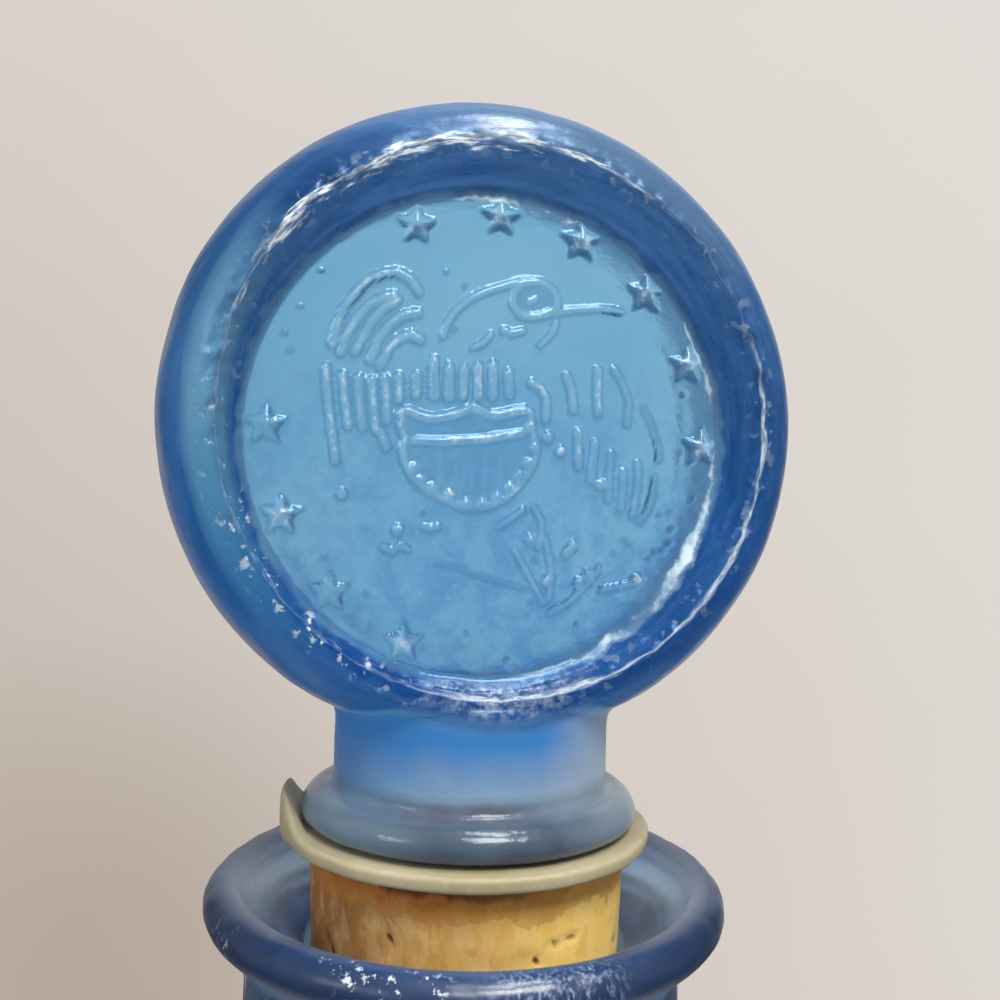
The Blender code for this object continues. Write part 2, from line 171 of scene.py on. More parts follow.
# Relief in the field, in millimetres right and up of the middle of the head
STAR_RING_RADIUS = 16.1
STAR_RING_DROP = 1.75
STAR_RING_SHIFT = -0.7
STAR_RADIUS = 1.75
STAR_WAIST_SHARE = 0.52
STAR_HEIGHT = 0.62
STAR_PLACES = 16
STARS = (0, 1, 2, 3, 4, 5, 8, 9, 10, 11)  # the places that have one
FEATHERS = (
    ((-12.5, 4.1), (-12.3, 5.3), (-11.8, 6.6), (-11.1, 7.7), (-10.2, 8.8), (-9.1, 9.4), (-8.1, 9.6),
     (-7.2, 9.2), (-6.5, 8.3)),
    ((-11.9, 3.6), (-11.5, 4.9), (-10.8, 6.1), (-10.0, 7.1), (-8.9, 7.8), (-8.3, 7.9)),
    ((-10.9, 3.7), (-10.4, 4.7), (-9.8, 5.9), (-9.0, 6.9), (-8.0, 7.6)),
    ((-9.8, 3.2), (-9.3, 4.7), (-8.6, 5.7), (-7.7, 6.5), (-6.5, 6.8)),
    ((-9.1, 2.8), (-8.6, 4.0), (-7.9, 4.8), (-7.0, 5.2), (-6.3, 4.9)),
    ((-12.9, 2.5), (-12.7, 0.6), (-12.4, -1.5), (-12.0, -4.0)),
    ((-11.7, 2.0), (-11.5, 0.3), (-11.2, -1.5)),
    ((-10.6, 1.9), (-10.5, 0.2), (-10.2, -1.6)),
    ((-9.7, 1.8), (-9.5, 0.0), (-9.3, -1.7)),
    ((-8.8, 2.0), (-8.6, 0.5), (-8.5, -1.0)),
    ((-9.0, -1.8), (-8.7, -2.4), (-8.5, -2.9)),
    ((-7.8, 2.2), (-7.7, 0.5)),
    ((-6.5, 2.4), (-6.5, 0.9)),
    ((1.9, 2.3), (2.6, 2.0), (3.1, 1.2), (3.1, -0.3)),
    ((4.6, 3.0), (5.0, 1.9), (5.2, 0.5)),
    ((7.0, 3.6), (7.0, 1.8), (7.1, 0.4)),
    ((5.6, -1.1), (5.6, -2.1), (5.7, -3.6)),
    ((6.9, -1.8), (6.8, -3.1), (6.7, -4.6)),
)
OUTER_FEATHERS = (
    ((8.3, 3.7), (9.0, 2.6), (9.5, 1.5), (9.4, -0.3)),
    ((8.2, -2.6), (8.1, -4.1), (8.1, -6.0)),
    ((9.2, -3.9), (9.2, -5.2), (9.1, -6.6)),
    ((10.3, -3.2), (10.4, -4.4), (10.2, -5.9), (10.0, -7.1)),
)
TIP_FEATHERS = (
    ((10.7, 1.0), (11.3, -0.2), (11.9, -1.7), (12.1, -2.8)),
    ((11.7, -4.2), (11.6, -5.5), (11.2, -6.7), (10.7, -7.6)),
)
BREAST = (
    ((-5.3, 3.4), (-5.2, 0.9)),
    ((-4.2, 3.0), (-4.1, 0.9)),
    ((-3.1, 3.0), (-3.1, 1.1)),
    ((-2.1, 3.2), (-2.0, 1.1)),
    ((-1.0, 3.4), (-0.9, 1.2)),
    ((0.2, 2.9), (0.3, 1.4)),
)
COLLAR = (
    ((-7.6, -0.5), (-7.0, -0.2), (-6.3, -0.5), (-5.4, -0.7), (-4.3, -0.5), (-3.3, -0.2), (-2.3, 0.3),
     (-1.4, -0.1), (-0.5, -0.2), (0.6, 0.1), (1.6, 0.3)),
    ((-6.5, -2.3), (-4.7, -2.3), (-2.8, -2.1), (-1.5, -2.0), (-0.3, -1.7), (1.3, -1.4)),
)
SHIELD_EDGE = (
    (-7.4, -0.6), (-7.6, -1.3), (-7.2, -2.2), (-7.4, -3.0), (-7.2, -3.9), (-6.6, -4.9), (-5.6, -5.8),
    (-4.2, -6.5), (-2.7, -7.0), (-1.2, -6.9), (0.2, -6.3), (1.3, -5.2), (2.2, -3.9), (2.5, -2.6),
    (2.2, -1.5), (1.9, 0.2),
)
SHIELD_STRIPES = tuple(((across, -3.0), (across, -5.4)) for across in (-4.6, -3.5, -2.4, -1.3, -0.2))
BEADS = (
    (-6.5, -4.3), (-6.0, -5.1), (-5.2, -5.6), (-3.9, -6.1), (-2.7, -6.7), (-1.5, -6.7), (-0.4, -6.2),
    (0.5, -5.4), (1.2, -4.5), (1.8, -3.6), (1.9, -0.9), (2.3, -2.4), (3.3, -1.6), (4.3, -2.6), (-7.5, -8.7),
    (5.0, -10.0), (5.4, -9.5), (5.9, -12.2), (6.6, -11.6), (10.5, -11.9), (2.2, -9.2), (3.5, -12.1),
    (-11.5, -6.3), (7.4, -4.9),
)
NECK = (
    ((-4.7, 5.2), (-4.5, 6.1), (-3.8, 7.2), (-2.8, 8.1), (-1.5, 8.8), (-0.2, 9.3), (0.9, 9.7), (2.0, 9.8)),
    ((1.0, 7.1), (2.2, 7.2), (3.5, 7.6), (5.5, 8.0), (7.1, 8.2), (8.7, 8.1)),
    ((-0.3, 6.0), (0.4, 5.8), (1.2, 6.1)),
)
BIRD_HEAD = (
    (0.4, 8.9), (0.3, 8.0), (0.8, 7.3), (1.7, 7.1), (2.8, 7.4), (3.7, 8.0), (3.7, 8.8), (3.2, 9.5),
    (2.2, 9.8), (1.1, 9.6), (0.4, 8.9),
)
FINE_LINES = (
    ((-2.5, 4.6), (-1.8, 4.9), (-1.2, 5.6)),
    ((2.5, 5.1), (3.4, 6.0), (3.7, 7.0)),
    ((1.5, 8.2), (2.1, 8.5)),
    ((3.8, -14.4), (5.1, -13.8), (6.0, -12.9), (6.9, -12.0), (7.5, -11.2)),
    ((7.7, -12.7), (8.8, -12.5), (10.5, -12.0)),
    ((-8.5, -9.9), (-7.8, -10.3), (-7.3, -9.8), (-6.7, -10.1)),
    ((-5.7, -8.4), (-5.2, -8.6), (-4.6, -8.4)),
    ((2.4, -6.8), (3.0, -7.8), (3.0, -9.0), (2.8, -9.7)),
    ((-0.2, -8.3), (0.8, -7.6), (1.6, -7.0)),
    ((3.3, -9.1), (3.7, -10.6), (3.9, -12.0), (3.7, -13.5)),
    ((1.0, -9.9), (1.8, -11.2), (2.5, -12.4), (3.3, -13.7)),
)
FAINT_LINES = (((-4.7, -11.0), (-3.3, -11.3), (-1.8, -11.8), (0.1, -12.3), (1.9, -12.7)),)
DROPS = (  # tiny bubbles and chips that stand up from the field
    (9.4, -8.9), (9.8, -9.3), (11.9, -9.9), (12.4, -9.8), (8.5, -10.0), (13.0, -9.1), (11.4, -10.4),
    (12.2, -7.0), (13.0, -6.8), (13.2, -8.1), (14.8, -5.7), (2.5, -10.6), (3.5, -10.5), (2.3, -13.8),
    (0.7, -17.9), (10.3, -12.4), (-5.7, -7.5), (-15.8, 4.7), (-15.4, 3.5), (-13.5, 9.3), (-14.8, 6.6),
    (-7.8, 6.2), (-3.9, 5.8), (-3.3, 9.0), (-4.6, 9.9), (-6.8, 4.9), (0.4, -2.9), (4.2, -2.6), (-14.2, -7.5),
    (-12.6, -10.8), (-11.9, -12.9), (-9.6, -13.3), (-2.4, -16.0), (5.9, -15.4), (11.8, -3.0), (13.9, 2.2),
)
RIDGES = (  # lines, with the height and half width of their ridges
    (FEATHERS, 0.40, 0.40), (OUTER_FEATHERS, 0.26, 0.40), (TIP_FEATHERS, 0.17, 0.40), (BREAST, 0.52, 0.44),
    (COLLAR, 0.50, 0.40), ((SHIELD_EDGE,), 0.38, 0.34), (SHIELD_STRIPES, 0.21, 0.34), (NECK, 0.28, 0.36),
    ((BIRD_HEAD,), 0.38, 0.32), (FINE_LINES, 0.30, 0.32), (FAINT_LINES, 0.16, 0.28),
)
PLATEAUS = ((SHIELD_EDGE, 0.16), (BIRD_HEAD, 0.12))  # outlines, with the height inside them
DOTS = ((BEADS, 0.52, 0.46), (DROPS, 0.16, 0.27))  # places, with the height and radius of their beads

# Lumps of the surfaces: layers of noise, each given as height, size of the lumps and seed
CREST_LUMPS = ((0.16, 1.5, 3), (0.14, 0.7, 4))
LAND_LUMPS = ((0.10, 5.0, 5), (0.03, 1.8, 6))
FIELD_LUMPS = ((0.012, 2.2, 7), (0.035, 7.0, 8))
STEM_LUMPS = ((0.05, 2.4, 11), (0.02, 0.9, 12))
DECANTER_LUMPS = ((0.10, 14.0, 21), (0.03, 5.0, 22))
LIP_LUMPS = ((0.07, 1.6, 23), (0.05, 0.7, 24))
CORK_LUMPS = ((0.035, 0.8, 31), (0.03, 2.5, 32))
PIT_LUMPS = ((0.5, 0.5, 33),)
WASHER_LUMPS = ((0.10, 2.0, 41), (0.05, 0.6, 43))
FLAP_LUMPS = ((0.22, 1.1, 42),)

# Fineness: points round each piece, rows across the head, and the longest steps along the outlines
FIELD_CELLS = 150
AROUND = 240
STEM_AROUND = 192
CORK_AROUND = 220
WASHER_AROUND = 260
STEP_ROWS = 8
LAND_ROWS = 14
FRONT_ROWS = 34
BACK_ROWS = 16
BACK_DISH_ROWS = 6
FLANGE_ROWS = 14
STEM_STEP = 0.7
DECANTER_STEP = 3.0
CORK_STEP = 0.35
WASHER_STEP = 0.8

GLASS_IOR = 1.52

# Stage: colours, and places in millimetres
ROOM_SEEN = (0.60, 0.57, 0.545)  # behind the object in any view; the next three show in reflections
ROOM_FRONT = (0.24, 0.235, 0.23)
ROOM_BACK = (0.60, 0.56, 0.53)
ROOM_TOP = (0.50, 0.49, 0.48)
EVEN_LIGHT = (0.95, 0.97, 1.0)
EVEN_STRENGTH = 0.45
WALL_PALE = (0.76, 0.716, 0.68)
WALL_DARK = (0.46, 0.38, 0.315)
DARK_REFLECTION = (0.10, 0.10, 0.105)  # painted dark reflection: shown only in reflections by the floor and wall, it gives the glass its dark edges
WALL_SHADE = (0.36, 0.285, 0.225)  # soft shadow at the lower left
WALL_SHADE_PLACE = (-172.0, 0.0, 24.0)
WALL_DISTANCE = 378.0  # from the decanter's axis
WALL_HALF_VIEW = 245.0  # half of what the camera sees of it
FLOOR_COLOUR = (0.64, 0.615, 0.59)
FLOOR_DARKER = 0.96
PANEL_REACH = 2000.0
LAMPS = (  # name, place, width and length, watts, colour
    ("key", (120.0, -520.0, 920.0), (360.0, 300.0), 7.4, (1.0, 0.98, 0.95)),
    ("side", (-800.0, -450.0, 620.0), (300.0, 300.0), 1.8, (0.95, 0.98, 1.0)),
    ("top", (110.0, -100.0, 950.0), (200.0, 200.0), 2.3, (1.0, 1.0, 1.0)),
)

# Camera: matched to the photograph by the round forms of the lip, the flange and the head
CAMERA_PLACE = (-14.69, -74.97, 28.55)  # from the middle of the lip's rolled rim
CAMERA_AZIMUTH = math.radians(-12.43)
CAMERA_ELEVATION = math.radians(-1.89)
CAMERA_ROLL = math.radians(1.72)
FOCAL_SHARE = 0.9335  # focal length over the width of the picture
SENSOR = 36.0


def hashed(x, y, z, seed):
    """Repeatable value from -1 to 1 for each whole-numbered place."""
    mixed = (x * 73856093) ^ (y * 19349663) ^ (z * 83492791) ^ (seed * 2654435761)
    mixed &= 0xFFFFFFFF
    for _ in range(2):
        mixed = (((mixed >> 16) ^ mixed) * 0x45D9F3B) & 0xFFFFFFFF
    mixed = (mixed >> 16) ^ mixed
    return (mixed & 0xFFFF) / 32767.5 - 1.0


def smooth_share(share):
    return share * share * (3.0 - 2.0 * share)


def lumps(points, layers):
    """Smooth noise at (n, 3) points, summed over its layers."""
    total = np.zeros(len(points))
    for height, size, seed in layers:
        scaled = points / size
        base = np.floor(scaled).astype(np.int64)
        part = smooth_share(scaled - base)
        layer = np.zeros(len(points))
        for corner in range(8):
            step = np.array([corner & 1, corner >> 1 & 1, corner >> 2 & 1])
            weight = np.prod(np.where(step == 1, part, 1.0 - part), axis=1)
            layer += weight * hashed(*(base + step).T, seed)
        total += height * layer
    return total


def pushed(points, radius, push, second=1):
    """The points moved out from an axis, at a known radius round it, along X and a second direction."""
    away = np.where(radius > 1e-6, radius, 1.0)
    out = points.copy()
    for axis in (0, second):
        out[:, axis] += push * points[:, axis] / away
    return out


def ridge(u, v, line, half_width):
    """Round-topped ridge along a line of points: 1 on the line, 0 from its half width out."""
    nearest = np.full(u.shape, np.inf)
    for (x0, y0), (x1, y1) in zip(line, line[1:]):
        dx, dy = x1 - x0, y1 - y0
        along = np.clip(((u - x0) * dx + (v - y0) * dy) / (dx * dx + dy * dy), 0.0, 1.0)
        nearest = np.minimum(nearest, (u - x0 - along * dx) ** 2 + (v - y0 - along * dy) ** 2)
    return np.clip(1.0 - nearest / half_width**2, 0.0, 1.0) ** 0.8


def bead(u, v, centre, radius):
    away = (u - centre[0]) ** 2 + (v - centre[1]) ** 2
    return np.sqrt(np.clip(1.0 - away / radius**2, 0.0, 1.0))


def star(u, v, centre):
    """Five-pointed star with a ridge out to each point and a raised middle."""
    tenth = math.pi / 5.0  # a tenth of a turn, from a point of the star to its waist
    du, dv = u - centre[0], v - centre[1]
    turn = np.abs((np.arctan2(du, dv) + tenth) % (2.0 * tenth) - tenth)
    waist = STAR_WAIST_SHARE * math.sin(tenth)
    reach = waist * np.cos(turn) + (1.0 - STAR_WAIST_SHARE * math.cos(tenth)) * np.sin(turn)
    edge = STAR_RADIUS * waist / reach
    return np.clip(1.0 - np.hypot(du, dv) / edge, 0.0, 1.0) ** 0.7


def inside(u, v, outline):
    """True where a point lies inside a closed outline."""
    found = np.zeros(u.shape, bool)
    for (x0, y0), (x1, y1) in zip(outline, outline[1:] + outline[:1]):
        if y0 != y1:
            crosses = (y0 > v) != (y1 > v)
            found ^= crosses & (u < (x1 - x0) * (v - y0) / (y1 - y0) + x0)
    return found


def relief(u, v):
    """Height of the emblem over the field at (right, up) places."""
    parts = [tall * ridge(u, v, line, half_width) for lines, tall, half_width in RIDGES for line in lines]
    parts += [tall * inside(u, v, outline) for outline, tall in PLATEAUS]
    parts += [tall * bead(u, v, centre, radius) for centres, tall, radius in DOTS for centre in centres]
    for place in STARS:
        turn = 2.0 * math.pi * place / STAR_PLACES
        across = STAR_RING_SHIFT + STAR_RING_RADIUS * math.cos(turn)
        up = STAR_RING_RADIUS * math.sin(turn) - STAR_RING_DROP
        parts.append(STAR_HEIGHT * star(u, v, (across, up)))
    return np.maximum.reduce(parts)


def placed(name, data):
    """New object in the scene."""
    made = bpy.data.objects.new(name, data)
    bpy.context.scene.collection.objects.link(made)
    return made


def mesh_object(name, points, faces, material=None):
    """Object from (n, 3) points in millimetres and a list of faces, shaded smooth."""
    data = bpy.data.meshes.new(name)
    data.from_pydata((np.asarray(points) * MM).tolist(), [], faces)
    work = bmesh.new()
    work.from_mesh(data)
    bmesh.ops.recalc_face_normals(work, faces=work.faces)
    work.to_mesh(data)
    work.free()
    data.shade_smooth()
    if material is not None:
        data.materials.append(material)
    return placed(name, data)


def add_values(made, name, values):
    """Gives each point of a mesh a number that its material reads."""
    made.data.attributes.new(name, "FLOAT", "POINT").data.foreach_set("value", values)


def band(first, second):
    """Faces between two rings of points, each given by the numbers of its points."""
    count = len(first)
    return [(first[i], first[(i + 1) % count], second[(i + 1) % count], second[i]) for i in range(count)]


def disc_grid(cells):
    """Even grid over the unit disc, the number of each grid point, and the ring of its outer points."""
    steps = np.linspace(-1.0, 1.0, cells + 1)
    a, b = np.meshgrid(steps, steps, indexing="ij")
    flat = np.abs(a) >= np.abs(b)
    with np.errstate(divide="ignore", invalid="ignore"):
        wide = np.where(flat, b / a, a / b)
    wide = np.nan_to_num(wide)
    radius = np.where(flat, a, b)
    turn = math.pi / 4.0 * wide
    x = np.where(flat, radius * np.cos(turn), radius * np.sin(turn))
    y = np.where(flat, radius * np.sin(turn), radius * np.cos(turn))
    index = np.arange((cells + 1) ** 2).reshape(cells + 1, cells + 1)
    rim = np.concatenate([index[-1, :], index[-2::-1, -1], index[0, -2::-1], index[1:-1, 0]])
    return x.ravel(), y.ravel(), index.tolist(), rim.tolist()


def shares(count):
    """Even shares from one step up to 1."""
    return [i / count for i in range(1, count + 1)]


def head_profile():
    """(radius, depth, right, up) of the rings from the field out to the crest and round to the back."""
    rows = []
    for share in shares(STEP_ROWS):
        depth = FIELD_PLANE + STEP_DEPTH * smooth_share(share)
        rows.append((FIELD_RADIUS - STEP_RUN * (1.0 - share), -depth, FIELD_SHIFT, -FIELD_DROP))
    for share in shares(LAND_ROWS):
        depth = HEAD_HALF_THICKNESS - LAND_FALL * (1.0 - share)
        right = FIELD_SHIFT + (CREST_SHIFT - FIELD_SHIFT) * share
        up = -FIELD_DROP + (FIELD_DROP - CREST_DROP) * share
        rows.append((FIELD_RADIUS + (CREST_RADIUS - FIELD_RADIUS) * share, -depth, right, up))
    front = [-math.pi / 2.0 * (1.0 - share) for share in shares(FRONT_ROWS)]
    back = [math.pi / 2.0 * share for share in shares(BACK_ROWS)]
    for turn in front + back:
        out = math.cos(turn)
        radius = CREST_RADIUS + (HEAD_RADIUS - CREST_RADIUS) * out
        kept = 1.0 - out if turn < 0.0 else 0.0
        rows.append((radius, HEAD_HALF_THICKNESS * math.sin(turn), CREST_SHIFT * kept, -CREST_DROP * kept))
    for share in shares(BACK_DISH_ROWS):
        radius = CREST_RADIUS + (BACK_RADIUS - CREST_RADIUS) * share
        rows.append((radius, HEAD_HALF_THICKNESS - BACK_DISH * smooth_share(share), 0.0, 0.0))
    for share in (0.85, 0.6, 0.3):
        rows.append((BACK_RADIUS * share, HEAD_HALF_THICKNESS - BACK_DISH, 0.0, 0.0))
    return rows


def build_head():
    """The thick round head with its sunk, embossed field, as one closed mesh."""
    x, y, index, rim = disc_grid(FIELD_CELLS)
    u = (FIELD_RADIUS - STEP_RUN) * x + FIELD_SHIFT
    v = (FIELD_RADIUS - STEP_RUN) * y - FIELD_DROP
    raised = relief(u, v)
    points = [np.column_stack([u, np.full(u.shape, -FIELD_PLANE) - raised, v])]
    faces = []
    for low, high in zip(index, index[1:]):
        faces += [(low[j], high[j], high[j + 1], low[j + 1]) for j in range(FIELD_CELLS)]
    count, start = len(rim), len(u)
    ring_x, ring_y = x[rim], y[rim]
    last = rim
    for radius, depth, right, up in head_profile():
        points.append(np.column_stack([radius * ring_x + right, np.full(count, depth), radius * ring_y + up]))
        ring = range(start, start + count)
        faces += band(last, ring)
        last = ring
        start += count
    points.append(np.array([[0.0, HEAD_HALF_THICKNESS - BACK_DISH, 0.0]]))
    faces += [(last[i], last[(i + 1) % count], start) for i in range(count)]
    points = roughened_head(np.vstack(points))
    points[:, 2] += HEAD_MIDDLE
    made = mesh_object("head", points, faces)
    add_values(made, "raised", np.pad(raised, (0, len(points) - len(raised))))
    return made


def roughened_head(points):
    """The head with the lumps of pressed glass: fine and ragged along the crest, broad and low elsewhere."""
    front = points[:, 1] < 0.0
    radius = np.hypot(points[:, 0] - CREST_SHIFT * front, points[:, 2] + CREST_DROP * front)
    crest = np.exp(-(((radius - CREST_RADIUS) / CREST_HALF_WIDTH) ** 2)) * front
    land = np.clip((radius - FIELD_RADIUS + LAND_MARGIN) / LAND_BLEND, 0.0, 1.0)
    side = np.clip((radius - CREST_RADIUS) / (HEAD_RADIUS - CREST_RADIUS), 0.0, 1.0)
    push = (lumps(points, CREST_LUMPS) + CREST_LIFT) * crest
    push += (lumps(points, LAND_LUMPS) - HEAD_SHRINK * side) * land
    push += lumps(points, FIELD_LUMPS) * (1.0 - land)
    out = pushed(points, radius, push * side, second=2)
    out[:, 1] += push * (1.0 - side) * np.where(front, -1.0, 1.0)
    return out


def arc(centre, radius, start, end, steps):
    turns = [start + (end - start) * i / steps for i in range(steps + 1)]
    return [(centre[0] + radius * math.cos(a), centre[1] + radius * math.sin(a)) for a in turns]


def spaced(outline, step):
    """The outline with points added so that none is further from the next than the step."""
    points = [outline[0]]
    for (r0, z0), (r1, z1) in zip(outline, outline[1:]):
        count = max(1, math.ceil(math.hypot(r1 - r0, z1 - z0) / step))
        points += [(r0 + (r1 - r0) * i / count, z0 + (z1 - z0) * i / count) for i in range(1, count + 1)]
    return points


def even_turns(count):
    return np.arange(count) * (2.0 * math.pi / count)


def turned(name, outline, turns, closed=False, shape=None, material=None):
    """Solid turned about the Z axis; shape moves its (n, 3) points before the mesh is made."""
    points, faces, rings = [], [], []
    count, total = len(turns), 0
    for radius, height in outline:
        if radius == 0.0:
            points.append([[0.0, 0.0, height]])
            rings.append([total] * count)
            total += 1
        else:
            x, y = radius * np.cos(turns), radius * np.sin(turns)
            points.append(np.column_stack([x, y, np.full(count, height)]))
            rings.append(range(total, total + count))
            total += count
    for low, high in zip(rings, rings[1:] + rings[:1] if closed else rings[1:]):
        faces += [tuple(dict.fromkeys(face)) for face in band(low, high)]  # a point on the axis counts once
    points = np.vstack(points)
    if shape is not None:
        points = shape(points)
    return mesh_object(name, points, faces, material)


def stem_outline():
    """Stem, flange and peg from the top down, starting inside the head."""
    foot = SEAT + FLANGE_FOOT
    join = HEAD_MIDDLE - math.sqrt(HEAD_RADIUS**2 - STEM_RADIUS**2)
    flange_top = foot + FLANGE_HEIGHT
    points = [(0.0, join + STEM_TOP_ROUND)]
    points += arc((STEM_RADIUS - STEM_TOP_ROUND, join), STEM_TOP_ROUND, math.pi / 2.0, 0.0, 12)
    points += arc((STEM_RADIUS + STEM_SWEEP, flange_top), STEM_SWEEP, math.pi, STEM_SWEEP_END, 8)
    radius, height = points[-1]
    reach = FLANGE_RADIUS - radius
    fall = height - foot - FLANGE_FOOT_ROUND
    for i in range(1, FLANGE_ROWS + 1):
        turn = math.pi / 2.0 * i / FLANGE_ROWS
        points.append((radius + reach * math.sin(turn), height - fall * (1.0 - math.cos(turn))))
    foot_round = (FLANGE_RADIUS - FLANGE_FOOT_ROUND, foot + FLANGE_FOOT_ROUND)
    points += arc(foot_round, FLANGE_FOOT_ROUND, 0.0, -math.pi / 2.0, 6)[1:]
    peg_end = foot - PEG_LENGTH
    points += [(PEG_RADIUS, foot), (PEG_RADIUS, peg_end + PEG_BEVEL), (PEG_RADIUS - PEG_BEVEL, peg_end)]
    return spaced(points, STEM_STEP) + [(0.0, peg_end)]


def roughened_stem(points):
    radius = np.hypot(points[:, 0], points[:, 1])
    over_peg = radius > PEG_RADIUS + PEG_MARGIN
    return pushed(points, radius, np.where(over_peg, lumps(points, STEM_LUMPS), 0.0))


def joined(base, tool):
    """The base with the tool's solid added to it; the tool is removed."""
    union = base.modifiers.new("union", "BOOLEAN")
    union.operation = "UNION"
    union.solver = "EXACT"
    union.object = tool
    graph = bpy.context.evaluated_depsgraph_get()
    data = bpy.data.meshes.new_from_object(base.evaluated_get(graph))
    base.modifiers.clear()
    old = base.data
    base.data = data
    bpy.data.meshes.remove(old)
    bpy.data.objects.remove(tool)


def soften_join(made):
    """Rounds the line where the stem meets the head, with a few passes over the points near it."""
    work = bmesh.new()
    work.from_mesh(made.data)
    near = []
    for corner in work.verts:
        x, y, z = (value / MM for value in corner.co)
        on_stem = abs(math.hypot(x, y) - STEM_RADIUS) < JOIN_STEM_MARGIN
        on_side = abs(math.hypot(x, z - HEAD_MIDDLE) - HEAD_RADIUS + JOIN_ROUND) < JOIN_HEAD_MARGIN
        low = z <= HEAD_MIDDLE - JOIN_REACH and abs(y) < HEAD_HALF_THICKNESS - JOIN_FACE_MARGIN
        if on_stem and on_side and low:
            near.append(corner)
    for _ in range(JOIN_PASSES):
        bmesh.ops.smooth_vert(work, verts=near, factor=0.5, use_axis_x=True, use_axis_y=True, use_axis_z=True)
    work.to_mesh(made.data)
    work.free()
    made.data.shade_smooth()


def cork_radius_at(height):
    """Radius of the tapered cork at a height over its top."""
    return CORK_RADIUS + height * math.tan(CORK_TAPER)


def shoulder_curves(offset):
    reach = NECK_RADIUS + NECK_SWEEP - (BODY_RADIUS - SHOULDER_ROUND)
    rise = math.sqrt((SHOULDER_ROUND + NECK_SWEEP) ** 2 - reach**2)
    meet = math.atan2(rise, reach)
    lower = arc((BODY_RADIUS - SHOULDER_ROUND, BODY_TOP), SHOULDER_ROUND - offset, 0.0, meet, 20)
    upper = arc((NECK_RADIUS + NECK_SWEEP, BODY_TOP + rise), NECK_SWEEP + offset, meet + math.pi, math.pi, 18)
    return lower + upper[1:]


def dish_outline():
    """From the bore over the dish and round the rolled rim to the neck, and the height of the dish's foot."""
    lean = math.sqrt(0.5)  # the dish's side slopes at 45 degrees
    start = math.radians(135.0)
    roll = (LIP_RADIUS - LIP_ROLL, LIP_HEIGHT)
    bore = cork_radius_at(LIP_HEIGHT - SEAT) + CLEARANCE
    run = (roll[0] - (LIP_ROLL - DISH_FOOT_ROUND) * lean - bore - DISH_FOOT_ROUND) / lean
    foot_height = roll[1] + (LIP_ROLL - DISH_FOOT_ROUND) * lean - run * lean
    reach = NECK_RADIUS + LIP_SWEEP - roll[0]
    fall = math.sqrt((LIP_SWEEP + LIP_ROLL) ** 2 - reach**2)
    meet = math.atan2(-fall, reach)
    points = arc((bore + DISH_FOOT_ROUND, foot_height), DISH_FOOT_ROUND, math.pi, start, 6)
    points += arc(roll, LIP_ROLL, start, meet, 24)
    points += arc((NECK_RADIUS + LIP_SWEEP, roll[1] - fall), LIP_SWEEP, meet + math.pi, math.pi, 10)[1:]
    return points, foot_height


def slope(start, end, steps):
    """Points on a smooth S between two (radius, height) points, both ends included."""
    run, rise = end[0] - start[0], end[1] - start[1]
    return [(start[0] + run * smooth_share(s), start[1] + rise * s) for s in [0.0, *shares(steps)]]


def dome(radius, edge, rise, steps):
    return [(radius * (1.0 - s), edge + rise * (1.0 - (1.0 - s) ** 2)) for s in shares(steps)]


def decanter_outline():
    """Closed outline of the glass, from the middle of the floor inside to the middle of the base."""
    foot_outer = BODY_RADIUS - HEEL_ROUND
    foot_inner = foot_outer - FOOT_RING_WIDTH
    inner_heel = HEEL_ROUND - WALL
    points = dome(foot_outer, BASE_THICKNESS, PUNT_HEIGHT, 16)[::-1]
    points += arc((foot_outer, BASE_THICKNESS + inner_heel), inner_heel, -math.pi / 2.0, 0.0, 10)
    points += shoulder_curves(WALL)
    rim, dish_foot = dish_outline()
    bore_bottom = dish_foot - BORE_LENGTH
    tapered = cork_radius_at(bore_bottom - SEAT) + CLEARANCE
    inner_neck = NECK_RADIUS - WALL
    points += slope((inner_neck, bore_bottom - (inner_neck - tapered)), (tapered, bore_bottom), 5)
    points += rim + shoulder_curves(0.0)[::-1]
    panel = BODY_RADIUS - PANEL_DEPTH
    top, low = BODY_TOP - SHOULDER_ROLL, HEEL_ROUND + HEEL_ROLL
    points += slope((BODY_RADIUS, top), (panel, top - PANEL_SLOPE), 8)
    points += slope((panel, low + PANEL_SLOPE), (BODY_RADIUS, low), 8)
    points += arc((foot_outer, HEEL_ROUND), HEEL_ROUND, 0.0, -math.pi / 2.0, 12)
    points += [(foot_inner, 0.0), *dome(foot_inner, 0.0, PUNT_HEIGHT, 12)]
    return spaced(points, DECANTER_STEP)


def outer_wall(height):
    """Radius halfway through the wall at each height, which tells the outside from the inside."""
    radii, heights = zip(*shoulder_curves(WALL / 2.0))
    return np.interp(height, [0.0, *heights, LIP_HEIGHT], [radii[0], *radii, radii[-1]])


def roughened_decanter(points):
    """The decanter with the low waves of pressed glass, a worn, ragged rim and a mould seam on each side."""
    radius = np.hypot(points[:, 0], points[:, 1])
    height = points[:, 2]
    lip = np.exp(-(((height - LIP_TOP) / LIP_WORN_DEPTH) ** 2))
    wave = lumps(points, DECANTER_LUMPS) * np.clip(radius / NECK_RADIUS, 0.0, 1.0)
    ragged = lumps(points, LIP_LUMPS) * lip
    outer = (height > SEAM_START) & (height < LIP_HEIGHT - SEAM_STOP) & (radius > outer_wall(height))
    seam = np.clip(1.0 - (points[:, 1] / SEAM_HALF_WIDTH) ** 2, 0.0, 1.0) * outer * SEAM_HEIGHT
    bore = (radius < CORK_RADIUS + BORE_MARGIN) & (height > LIP_HEIGHT - EVEN_BORE)
    push = np.where((height < FLAT_FOOT) | bore, 0.0, wave - MOULD_SHRINK + ragged + seam)
    out = pushed(points, radius, push)
    out[:, 2] += ragged * LIP_RISE_SHARE - LIP_WEAR * lip
    return out


